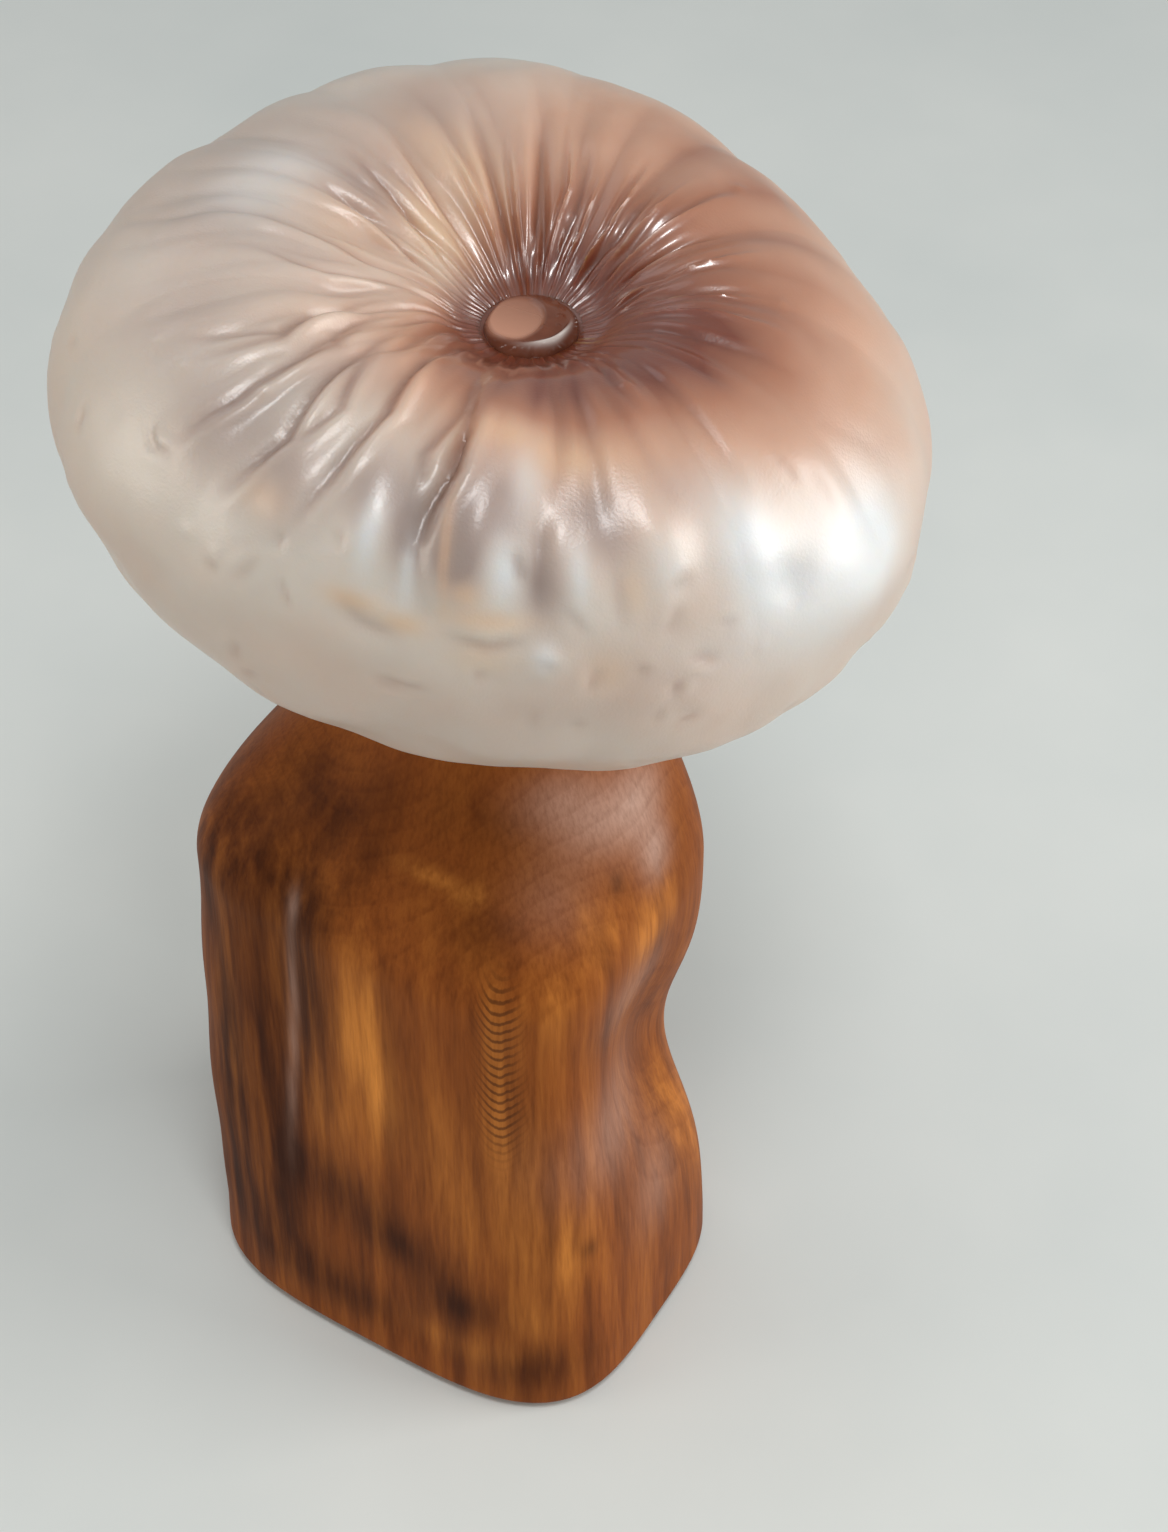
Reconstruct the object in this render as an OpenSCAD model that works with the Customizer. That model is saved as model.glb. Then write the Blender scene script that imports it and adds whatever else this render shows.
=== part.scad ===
// Freestanding mushroom-shaped piece: a pleated blown-glass cap that stands on a carved wood block.
// Millimetres, +Z up. The origin is on the floor, under the middle of the pin that carries the cap.
// The pin, its rod and the plug in the neck of the glass are hidden in use.

/* [Glass cap] */
// Mean outer radius of the cap at its widest line
cap_radius = 113.5; // [106:0.5:122]
// Height of the top roll above the widest line
cap_rise = 50; // [44:0.5:60]
// Depth of the bottom roll below the widest line
cap_drop = 57; // [50:0.5:60]
// Radius of the line along the top of the roll
crest_radius = 62; // [56:1:72]
// Radius of the line along the bottom of the roll
roll_radius = 64; // [58:1:72]
// Thickness of the blown glass
glass_wall = 4; // [3:0.5:5]
// Depth of the gathered dimple below the top roll
dimple_depth = 25; // [14:1:28]
// Radius of the flat floor of the dimple
dimple_radius = 14; // [13:0.5:17]
// Place of the dimple across the block, from the pin
dimple_x = 9.5; // [0:0.5:14]
// Place of the dimple along the block, from the pin
dimple_y = 2.5; // [-6:0.5:6]
// Number of soft folds gathered at the dimple
fold_count = 14; // [10:1:16]
// Depth of the folds on the top roll
fold_depth = 2; // [0:0.25:2.5]
// How far the spacing of the folds wanders, in degrees
fold_wander = 6; // [0:1:8]
// How far the tallest of the soft pillows round the shoulder of the cap stands up
pillow_rise = 3.8; // [0:0.2:4]
// Depth of the deepest crease that is drawn in towards the button
crease_depth = 2.6; // [0:0.2:3]
// How far the three-sided outline swells and shrinks
lobe_swell = 4.2; // [0:0.2:5]
// Direction of the first swell
lobe_direction = -6; // [-60:1:60]
// How far the outline is drawn out to an oval
oval_swell = 1.8; // [0:0.2:3]
// Direction of the long way of the oval
oval_direction = -14; // [-60:1:60]
// How far the outline is drawn out to four soft corners
corner_swell = 1.6; // [0:0.2:3]
// Direction of the first soft corner
corner_direction = 29; // [0:1:90]
// How far the outline sits off the pin across the block
outline_x = -1; // [-3:0.5:3]
// How far the outline sits off the pin along the block
outline_y = 2.5; // [-3:0.5:4]
// Lean of the cap on its pin
lean_angle = 5.7; // [0:0.1:8]
// Direction that the cap leans towards
lean_direction = 25; // [0:1:90]
// Height of the widest line above the ground lip of the neck
neck_inset = 44; // [42:0.5:48]
// Outer radius of the neck of the glass
neck_radius = 37; // [35:0.5:42]
// Radius of the ground bore of the neck
neck_bore = 30.5; // [29:0.5:32]

/* [Glass button] */
// Radius of the button in the dimple
button_radius = 12.5; // [10:0.5:12.5]
// Height of the button in its middle
button_height = 7.5; // [5:0.5:9]
// Height of the button at its rim
button_rim = 4.6; // [2:0.2:4.8]

/* [Wood block] */
// Width of the block at its shoulders
block_width = 149; // [130:1:160]
// Depth of the block at its shoulders
block_depth = 113.5; // [100:0.5:125]
// Middle of the block across, from the pin
block_x = -15; // [-20:1:0]
// Middle of the block along, from the pin
block_y = -11; // [-16:1:0]
// How much wider than its shoulders the block is at its foot, on each side
foot_spread = 4.5; // [0:0.5:6]
// Small rounding at the foot
foot_round = 4; // [2:0.5:8]
// Squareness of the plan shape, where 2 is an ellipse
squareness = 3.6; // [3:0.1:5]
// Height at which the shoulders start to close in
shoulder_start = 200; // [180:1:215]
// Height at which the shoulders have closed in on the neck
shoulder_top = 292; // [270:1:298]
// Radius of the neck of the block
post_radius = 38; // [35:0.5:42]
// Height of the flat top of the neck
post_top = 314; // [304:1:330]
// Rounding of the rim of the neck
post_round = 3; // [1:0.5:3]
// Depth of the carved waist
waist_depth = 17; // [0:1:18]
// Depth of the carved groove down the long face
groove_depth = 3; // [0:0.5:4]
// How far the narrow end of the block hollows and swells by hand
hand_depth = 1.4; // [0:0.2:2]

/* [Felt] */
// Thickness of the felt under the block
felt_thickness = 2; // [1:0.5:3]
// How far the felt stays in from the foot of the block
felt_inset = 6; // [5:0.5:12]

/* [Tie rod] */
// Radius of the steel rod
rod_radius = 5; // [4:0.5:6]
// Clearance of the rod in the block and in the seat plate
rod_clearance = 0.3; // [0.2:0.1:0.6]
// Clearance of a thread, drawn plain
thread_clearance = 0.05; // [0.02:0.01:0.1]
// Length of the rod below its nut
rod_tail = 3; // [1:0.5:4]
// Length of the rod inside the pin
rod_reach = 20; // [16:1:22]
// Depth of the counterbore in the foot of the block
counterbore_depth = 20; // [18:1:28]
// Radius of the counterbore
counterbore_radius = 18; // [17:0.5:22]
// Radius of the washer
washer_radius = 15; // [13:0.5:16]
// Thickness of the washer
washer_thickness = 2.5; // [1.5:0.5:3]
// Width across the flats of the nut
nut_width = 17; // [15:1:19]
// Height of the nut
nut_height = 8; // [6:0.5:9]

/* [Seat and pin] */
// Radius of the seat plate on the neck
seat_radius = 32; // [28:0.5:32]
// Thickness of the seat plate
seat_thickness = 4; // [3:0.5:6]
// Radius of the pin
pin_radius = 8; // [7:0.25:9]
// Height of the pin above the seat plate
pin_height = 28; // [26:1:34]
// Chamfer at the top of the pin
pin_chamfer = 1.5; // [0.5:0.5:2]
// Outer radius of the cork ring
cork_radius = 30; // [24:0.5:32]
// Thickness of the cork ring
cork_thickness = 3; // [2:0.5:4]
// Clearance of the cork ring on the pin
cork_clearance = 0.6; // [0.3:0.1:1]
// Gap under and over the cork ring
rest_gap = 0.3; // [0.2:0.1:0.4]

/* [Neck plug] */
// Radius of the plug inside the glass
plug_radius = 28; // [26:0.5:28]
// Height of the plug inside the glass
plug_height = 26; // [24:1:34]
// Chamfer at the top of the plug
plug_chamfer = 4; // [1:0.5:6]
// Radius of the rim of the plug under the glass
plug_rim_radius = 37; // [34:0.5:37]
// Thickness of the rim of the plug
plug_rim = 8; // [6:0.5:10]
// Running clearance of the plug on the pin
running_clearance = 0.08; // [0.03:0.01:0.1]
// Room above the pin in the bore of the plug
bore_room = 3; // [1:0.5:4]
// Thickness of the bond under the ground lip
bond_thickness = 2.4; // [1:0.2:3]
// Height of the bond inside the neck of the glass
bond_height = 10; // [6:1:14]
// Clearance of the bond at the plug and at the glass
bond_clearance = 0.1; // [0.05:0.05:0.2]

/* [Hidden] */
$fn = 96;
cap_segments = 112;
// Rings of a skin under the cap, on its lower roll, on its upper roll and in the dimple
outer_steps = [3, 7, 10, 10];
inner_steps = [2, 5, 6, 7];
block_segments = 72;
body_steps = 13;
shoulder_steps = 13;

seat_top = post_top + seat_thickness;
cork_bottom = seat_top + rest_gap;
plug_bottom = cork_bottom + cork_thickness + rest_gap;
bond_bottom = plug_bottom + plug_rim;
lip_z = bond_bottom + bond_thickness;
cap_middle = lip_z + neck_inset;
dimple_floor = cap_rise - dimple_depth;
neck_dent = cap_drop - neck_inset;
dimple_end = norm([crest_radius - dimple_radius, dimple_depth]) + 1.5;
upper_end = dimple_end + PI / 4 * (cap_radius - crest_radius + cap_rise);
lower_end = upper_end + PI / 4 * (cap_radius - roll_radius + cap_drop);
far_out = 300;
counterbore_top = felt_thickness + counterbore_depth;
rod_bottom = counterbore_top - washer_thickness - nut_height - rod_tail;
rod_top = seat_top + rod_reach;

// Hollows of the block: direction, height at that direction, depth, spread in degrees,
// spread in height, and how the height changes with each degree of direction
hollows = [
    [16, 127, waist_depth, 31, 40, -0.9],
    [246, 160, groove_depth, 9, 80, 0],
    [215, 190, hand_depth, 25, 25, 0],
    [215, 96, -hand_depth, 25, 25, 0]
];

// Pillows of the glass: direction, how far out from the rim of the dimple, reach across, reach along,
// share of pillow_rise. One is a hollow
pillows = [
    [299, 88, 9, 21, 1],
    [284, 91, 8, 19, 0.95],
    [271, 92, 7, 16, 0.5],
    [313, 100, 7, 14, 0.75],
    [325, 94, 8, 19, 0.6],
    [337, 101, 9, 17, 0.8],
    [354, 118, 16, 20, 0.7],
    [341, 114, 7, 8, -0.8],
    [252, 92, 9, 16, 0.4],
    [236, 84, 12, 15, 0.4],
    [214, 70, 14, 13, 0.4],
    [190, 62, 14, 13, 0.4],
    [160, 62, 10, 15, 0.3],
    [58, 50, 6, 18, 0.35],
    [40, 62, 8, 16, 0.3]
];

// Creases of the glass: direction and how far out at the inner end, the same at the outer end, width,
// share of crease_depth
creases = [
    [290, 26, 293, 120, 4, 1],
    [264, 12, 276, 108, 4, 0.9],
    [248, 12, 264, 104, 4, 0.8],
    [232, 12, 253, 100, 4, 0.6],
    [218, 10, 246, 84, 3.5, 0.5],
    [206, 8, 216, 62, 3.5, 0.5],
    [189, 8, 187, 58, 3.5, 0.5],
    [175, 8, 171, 62, 3.5, 0.5],
    [158, 8, 156, 58, 3.5, 0.55],
    [134, 8, 133, 60, 3.5, 0.6],
    [118, 8, 114, 60, 3.5, 0.6],
    [102, 8, 101, 50, 3.5, 0.5],
    [78, 8, 75, 50, 3.5, 0.5],
    [310, 20, 311, 110, 4, 0.7],
    [322, 20, 328, 98, 4, 0.6],
    [340, 10, 340, 98, 4, 0.6],
    [356, 8, 358, 80, 4, 0.4]
];

function smooth(t) = let(s = min(1, max(0, t))) s * s * (3 - 2 * s);
function mix(a, b, t) = a + (b - a) * t;
function turn(a) = let(b = (a % 360 + 360) % 360) b > 180 ? b - 360 : b;

// A skin through rings of points, each ring counter-clockwise from above, with a flat face at either end
module loft(rings) {
    n = len(rings[0]);
    last = len(rings) - 1;
    points = [for (ring = rings) for (p = ring) p];
    sides = [
        for (j = [0 : last - 1]) for (i = [0 : n - 1])
            let(a = j * n + i, b = j * n + (i + 1) % n, c = b + n, d = a + n)
                for (f = [[a, d, c], [a, c, b]]) f
    ];
    first_face = [for (i = [0 : n - 1]) i];
    last_face = [for (i = [n - 1 : -1 : 0]) last * n + i];
    polyhedron(points = points, faces = concat([first_face], sides, [last_face]), convexity = 8);
}

// Glass cap. A station of a skin is its radius, its height, the direction that a fold moves it, its fold share
// and how far out from the rim of the dimple it lies along the skin
function under_stations(inset, steps) = [
    for (i = [0 : steps[0] - 1])
        let(t = i / steps[0])
            [
                mix(neck_radius, roll_radius, t), inset - cap_drop + neck_dent * (1 - smooth(t)), -90, 0,
                lower_end + roll_radius - mix(neck_radius, roll_radius, t)
            ]
];
function lower_stations(inset, steps) = [
    for (i = [0 : steps[1]])
        let(p = -90 + 90 * i / steps[1])
            [
                mix(roll_radius, cap_radius - inset, cos(p)), (cap_drop - inset) * sin(p), p,
                0.35 * (1 + sin(p)), mix(upper_end, lower_end, -p / 90)
            ]
];
function upper_stations(inset, steps) = [
    for (i = [1 : steps[2]])
        let(p = 90 * i / steps[2])
            [
                mix(crest_radius, cap_radius - inset, cos(p)), (cap_rise - inset) * sin(p), p,
                mix(0.35, 1, sin(p)), mix(upper_end, dimple_end, p / 90)
            ]
];
function dimple_stations(inset, steps) = [
    for (i = [1 : steps[3]])
        let(t = i / steps[3])
            [
                mix(crest_radius, dimple_radius, t), cap_rise - inset - dimple_depth * t * t, 90,
                1 - smooth(t), mix(dimple_end, 0, t)
            ]
];
function skin(inset, steps) = concat(
    under_stations(inset, steps), lower_stations(inset, steps), upper_stations(inset, steps),
    dimple_stations(inset, steps)
);
function backwards(list) = [for (i = [len(list) - 1 : -1 : 0]) list[i]];

function fold(a) = fold_depth * (abs(sin(fold_count * (a + fold_wander * sin(2 * a + 40)) / 2)) - 0.64);
function swell(a) =
    lobe_swell * cos(3 * (a - lobe_direction)) + oval_swell * cos(2 * (a - oval_direction))
    + corner_swell * cos(4 * (a - corner_direction));
function bell(distance, width) = exp(-pow(distance / width, 2));

// Height of the pillows and creases at a station and a direction
function pillow_height(s, a) = pillow_rise * sum_of([
    for (p = pillows) p[4] * bell(turn(a - p[0]) * PI / 180 * s[0], p[2]) * bell(s[4] - p[1], p[3])
]);
function crease_height(s, a) = -crease_depth * sum_of([
    for (c = creases)
        let(
            t = min(1, max(0, (s[4] - c[1]) / (c[3] - c[1]))),
            across = turn(a - mix(c[0], c[2], t)) * PI / 180 * s[0],
            along = s[4] - mix(c[1], c[3], t)
        )
            c[5] * bell(norm([across, along]), c[4]) * smooth(t / 0.3) * smooth((1 - t) / 0.3)
]);
function sum_of(list) = list * [for (x = list) 1];
function lean(x, y) = -tan(lean_angle) * (x * cos(lean_direction) + y * sin(lean_direction));

// How much of the lean and swell reaches a station: none at the flat dimple floor and at the ground neck
function share(s) = smooth(
    s[1] > 0
        ? (s[0] - dimple_radius) / (crest_radius - dimple_radius)
        : (s[0] - neck_radius) / (roll_radius - neck_radius)
);
function off_centre(s) = s[1] > 0 ? 1 - smooth((s[0] - dimple_radius) / (cap_radius - dimple_radius)) : 0;

function cap_point(s, a) =
    let(
        push = fold(a) * s[3] + pillow_height(s, a) + crease_height(s, a),
        r = s[0] + push * cos(s[2]) + swell(a) * share(s) * s[0] / cap_radius,
        shift = (1 - off_centre(s)) * share(s),
        x = r * cos(a) + dimple_x * off_centre(s) + outline_x * shift,
        y = r * sin(a) + dimple_y * off_centre(s) + outline_y * shift
    )
    [x, y, cap_middle + s[1] + push * sin(s[2]) + lean(x, y) * share(s)];
function cap_ring(s) = [for (i = [0 : cap_segments - 1]) cap_point(s, 360 * i / cap_segments)];

module glass_cap() {
    bore_stations = [
        [neck_bore - 2, glass_wall + 1 - neck_inset, 0, 0, far_out],
        [neck_bore - 2, -neck_inset, 0, 0, far_out]
    ];
    color("#d9c0b4", 0.6)
    difference() {
        loft([
            for (s = concat(backwards(skin(glass_wall, inner_steps)), bore_stations, skin(0, outer_steps)))
                cap_ring(s)
        ]);
        translate([0, 0, lip_z - 1]) cylinder(h = glass_wall + neck_dent + 1, r = neck_bore);
    }
}

// Glass button: a low lens that seals the gathered middle of the cap
module glass_button() {
    edge = 0.8;
    profile = concat(
        [[0, 0], [button_radius - edge, 0], [button_radius, edge], [button_radius, button_rim - edge]],
        [for (i = [0 : 6])
            let(t = i / 6)
                [(button_radius - edge) * (1 - t), button_rim + (button_height - button_rim) * smooth(t)]]
    );
    color("#a0705c")
    translate([dimple_x, dimple_y, cap_middle + dimple_floor])
    rotate_extrude() polygon(profile);
}

// Wood block
function plan_radius(a, half_x, half_y, square) =
    pow(pow(abs(cos(a)) / half_x, square) + pow(abs(sin(a)) / half_y, square), -1 / square);
function hollow(a, z) = [
    for (h = hollows)
        let(da = turn(a - h[0]), dz = z - h[1] - h[5] * da)
            h[2] * exp(-pow(da / h[3], 2) - pow(dz / h[4], 2))
];
function sum(list, i = 0) = i < len(list) ? list[i] + sum(list, i + 1) : 0;
function spread(z) = foot_spread * max(0, 1 - z / shoulder_start);

// A ring of the block at height z: blend goes from 0 at the body to 1 at the neck
function block_point(a, z, blend, inset) =
    let(
        half_x = mix(block_width / 2 + spread(z), post_radius, blend) - inset,
        half_y = mix(block_depth / 2 + spread(z), post_radius, blend) - inset,
        r = plan_radius(a, half_x, half_y, mix(squareness, 2, blend)) - sum(hollow(a, z)) * (1 - blend)
    )
    [block_x * (1 - blend) + r * cos(a), block_y * (1 - blend) + r * sin(a), z];
function block_ring(z, blend = 0, inset = 0) = [
    for (i = [0 : block_segments - 1]) block_point(360 * i / block_segments, z, blend, inset)
];

module wood_body() {
    foot_rings = [
        for (p = [0 : 30 : 90])
            block_ring(felt_thickness + foot_round * (1 - cos(p)), 0, foot_round * (1 - sin(p)))
    ];
    body_bottom = felt_thickness + foot_round;
    body_rings = [
        for (i = [1 : body_steps])
            block_ring(mix(body_bottom, shoulder_start, i / body_steps))
    ];
    shoulder_rings = [
        for (i = [1 : shoulder_steps])
            let(t = i / shoulder_steps)
                block_ring(mix(shoulder_start, shoulder_top, t), smooth(t))
    ];
    rim_rings = [
        for (p = [0 : 45 : 90])
            block_ring(post_top - post_round * (1 - sin(p)), 1, post_round * (1 - cos(p)))
    ];
    color("#7a4a26")
    difference() {
        loft(concat(foot_rings, body_rings, shoulder_rings, rim_rings));
        translate([0, 0, felt_thickness - 1]) cylinder(h = counterbore_depth + 1, r = counterbore_radius);
        cylinder(h = post_top + 1, r = rod_radius + rod_clearance);
    }
}

// Felt under the block, cut to the foot, which also closes the counterbore
module base_felt() {
    outline = [for (p = block_ring(felt_thickness, 0, felt_inset)) [p[0], p[1]]];
    color("#3a332e")
    linear_extrude(height = felt_thickness) polygon(outline);
}

// Steel rod from the counterbore to the pin
module tie_rod() {
    color("#8f9194")
    translate([0, 0, rod_bottom]) cylinder(h = rod_top - rod_bottom, r = rod_radius);
}

module rod_washer() {
    color("#a5a7a9")
    translate([0, 0, counterbore_top - washer_thickness])
    difference() {
        cylinder(h = washer_thickness, r = washer_radius);
        translate([0, 0, -1]) cylinder(h = washer_thickness + 2, r = rod_radius + rod_clearance);
    }
}

module rod_nut() {
    color("#9b9da0")
    translate([0, 0, counterbore_top - washer_thickness - nut_height])
    difference() {
        cylinder(h = nut_height, r = nut_width / 2 / cos(30), $fn = 6);
        translate([0, 0, -1]) cylinder(h = nut_height + 2, r = rod_radius + thread_clearance);
    }
}

// Steel plate that spreads the load of the cap over the end grain of the neck
module seat_plate() {
    edge = 0.6;
    profile = [
        [rod_radius + rod_clearance, 0], [seat_radius, 0],
        [seat_radius, seat_thickness - edge], [seat_radius - edge, seat_thickness],
        [rod_radius + rod_clearance, seat_thickness]
    ];
    color("#b08d57")
    translate([0, 0, post_top]) rotate_extrude() polygon(profile);
}

// Pin screwed on the rod, which clamps the seat plate and centres the cap
module pin() {
    profile = [
        [0, 0], [pin_radius, 0], [pin_radius, pin_height - pin_chamfer],
        [pin_radius - pin_chamfer, pin_height], [0, pin_height]
    ];
    color("#b9935a")
    translate([0, 0, seat_top])
    difference() {
        rotate_extrude() polygon(profile);
        translate([0, 0, -1]) cylinder(h = rod_reach + 2, r = rod_radius + thread_clearance);
    }
}

// Cork ring that the cap rests and turns on
module cork_ring() {
    color("#b98a5a")
    translate([0, 0, cork_bottom])
    difference() {
        cylinder(h = cork_thickness, r = cork_radius);
        translate([0, 0, -1]) cylinder(h = cork_thickness + 2, r = pin_radius + cork_clearance);
    }
}

// Turned plug that closes the neck of the glass, with a blind bore for the pin
module neck_plug() {
    full = plug_rim + plug_height;
    bore = pin_height - cork_thickness - 2 * rest_gap + bore_room;
    profile = [
        [0, 0], [plug_rim_radius, 0], [plug_rim_radius, plug_rim], [plug_radius, plug_rim],
        [plug_radius, full - plug_chamfer], [plug_radius - plug_chamfer, full], [0, full]
    ];
    color("#c8a878")
    translate([0, 0, plug_bottom])
    difference() {
        rotate_extrude() polygon(profile);
        translate([0, 0, -1]) cylinder(h = bore + 1, r = pin_radius + running_clearance);
    }
}

// Clear silicone bond between the plug and the ground lip and bore of the glass
module bond_ring() {
    inner = plug_radius + bond_clearance;
    sleeve = neck_bore - bond_clearance;
    profile = [
        [inner, 0], [neck_radius - 1, 0], [neck_radius - 1, bond_thickness], [sleeve, bond_thickness],
        [sleeve, bond_thickness + bond_height], [inner, bond_thickness + bond_height]
    ];
    color("#e8e6e0")
    translate([0, 0, bond_bottom]) rotate_extrude() polygon(profile);
}

wood_body();
base_felt();
tie_rod();
rod_nut();
rod_washer();
seat_plate();
pin();
cork_ring();
neck_plug();
bond_ring();
glass_cap();
glass_button();
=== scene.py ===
import math
import random
import bpy
import numpy as np
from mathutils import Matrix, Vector, noise


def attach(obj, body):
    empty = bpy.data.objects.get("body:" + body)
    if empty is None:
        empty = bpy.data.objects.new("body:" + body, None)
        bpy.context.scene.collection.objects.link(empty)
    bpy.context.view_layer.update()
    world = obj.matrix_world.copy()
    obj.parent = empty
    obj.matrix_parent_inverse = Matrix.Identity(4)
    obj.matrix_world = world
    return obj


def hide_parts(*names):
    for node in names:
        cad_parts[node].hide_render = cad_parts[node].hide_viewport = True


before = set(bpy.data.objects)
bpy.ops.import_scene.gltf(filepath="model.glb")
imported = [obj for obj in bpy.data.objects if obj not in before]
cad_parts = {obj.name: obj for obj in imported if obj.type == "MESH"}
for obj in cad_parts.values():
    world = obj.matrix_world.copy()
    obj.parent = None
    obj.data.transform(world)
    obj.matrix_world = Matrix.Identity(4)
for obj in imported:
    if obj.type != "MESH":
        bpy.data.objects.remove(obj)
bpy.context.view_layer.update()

mm = 0.001  # the dictionaries hold millimetres and degrees, Blender holds metres


# Small helpers

def linearColor(hexCode):
    # From an sRGB hex colour to the linear red, green, blue and alpha that Blender works with
    values = [int(hexCode[i:i + 2], 16) / 255 for i in (1, 3, 5)]
    return [v / 12.92 if v <= 0.04045 else ((v + 0.055) / 1.055) ** 2.4 for v in values] + [1.0]


def addNode(tree, kind, inputs=None, stops=None, **settings):
    # An input is a plain value, a hex colour, a socket, or a node, which gives its first output in use
    node = tree.nodes.new(kind)
    for key, value in settings.items():
        setattr(node, key, value)
    for key, value in (inputs or {}).items():
        if isinstance(value, str):
            value = linearColor(value)
        if isinstance(value, bpy.types.Node):
            value = [socket for socket in value.outputs if socket.enabled][0]
        if isinstance(value, bpy.types.NodeSocket):
            tree.links.new(value, node.inputs[key])
        else:
            node.inputs[key].default_value = value
    if stops:
        ramp = node.color_ramp.elements
        ramp[0].position, ramp[0].color = stops[0][0], linearColor(stops[0][1])
        ramp[1].position, ramp[1].color = stops[-1][0], linearColor(stops[-1][1])
        for place, hexCode in stops[1:-1]:
            ramp.new(place).color = linearColor(hexCode)
    return node


def startMaterial(name):
    # An empty material, its node tree and the place on the object that its patterns read
    material = bpy.data.materials.new(name)
    material.use_nodes = True
    tree = material.node_tree
    tree.nodes.clear()
    return material, tree, addNode(tree, "ShaderNodeTexCoord").outputs["Object"]


def giveMaterial(obj, material):
    obj.data.materials.clear()
    obj.data.materials.append(material)


def smooth(t):
    # From 0 to 1 with a soft start and a soft end
    t = np.clip(t, 0.0, 1.0)
    return t * t * (3 - 2 * t)


def mix(a, b, t):
    return a + (b - a) * t


def bell(distance, width):
    return np.exp(-(distance / width) ** 2)


def band(out, start, rise, end, fall):
    # Grows over a length of rise from start on, and fades over a length of fall from end on
    return smooth((out - start) / rise) * (1 - smooth((out - end) / fall))


def angleGap(a, b):
    # Degrees from b to a, between -180 and 180
    return (a - b + 180.0) % 360.0 - 180.0


def wander(points, scale, seed):
    # Smooth wandering between -1 and 1 over points in mm; scale is the size of one swell in mm
    shift = Vector((seed * 7.3, seed * 3.1, seed * 5.7))
    return np.array([noise.noise(Vector(p) / scale + shift) for p in points])


def deselectAll():
    bpy.ops.object.select_all(action="DESELECT")


def selectOnly(obj):
    deselectAll()
    obj.select_set(True)
    bpy.context.view_layer.objects.active = obj


def newSkin(name, segments, rows):
    # A flat grid that is later wrapped round, its first row and last row each drawn in to a point
    deselectAll()
    bpy.ops.mesh.primitive_grid_add(x_subdivisions=segments, y_subdivisions=rows - 1, size=2)
    obj = bpy.context.object
    obj.name = obj.data.name = name
    points = readPoints(obj)
    spoke = np.rint((points[:, 0] + 1) / 2 * segments).astype(int) % segments
    row = np.rint((points[:, 1] + 1) / 2 * (rows - 1)).astype(int)
    return obj, row, spoke


def closeSkin(obj):
    # The two edges of the seam are merged, and so is each of the two rows drawn in to a point
    selectOnly(obj)
    bpy.ops.object.mode_set(mode="EDIT")
    bpy.ops.mesh.select_all(action="SELECT")
    bpy.ops.mesh.remove_doubles(threshold=0.002 * mm)
    bpy.ops.object.mode_set(mode="OBJECT")


def readPoints(obj):
    points = np.zeros(len(obj.data.vertices) * 3)
    obj.data.vertices.foreach_get("co", points)
    return points.reshape(-1, 3)


def writePoints(obj, points):
    obj.data.vertices.foreach_set("co", np.asarray(points, dtype=np.float32).ravel())
    obj.data.update()


def paintVertices(obj, name, values):
    layer = obj.data.attributes.new(name, "FLOAT", "POINT")
    layer.data.foreach_set("value", np.asarray(values, dtype=np.float32))


def shadeSmooth(obj, angle):
    selectOnly(obj)
    bpy.ops.object.shade_smooth_by_angle(angle=math.radians(angle))


def applyModifiers(obj):
    selectOnly(obj)
    for modifier in list(obj.modifiers):
        bpy.ops.object.modifier_apply(modifier=modifier.name)


# Camera, at the photograph's viewing angle

camera = {
    "place": (0.33789, -0.51729, 0.88979),  # metres
    "turn": 31.0,  # degrees, towards the back left
    "dip": 46.673,  # degrees below level
    "lens": 70.5,  # mm
    "sensor": 36.0,  # mm
}


def buildCamera():
    rotation = (math.radians(90 - camera["dip"]), 0, math.radians(camera["turn"]))
    bpy.ops.object.camera_add(location=camera["place"], rotation=rotation)
    made = bpy.context.object
    made.data.lens = camera["lens"]
    made.data.sensor_width = camera["sensor"]
    bpy.context.scene.camera = made


deselectAll()
buildCamera()
print("camera placed")


# Glass cap: blown glass, drawn in at the button and etched to a satin

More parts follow.
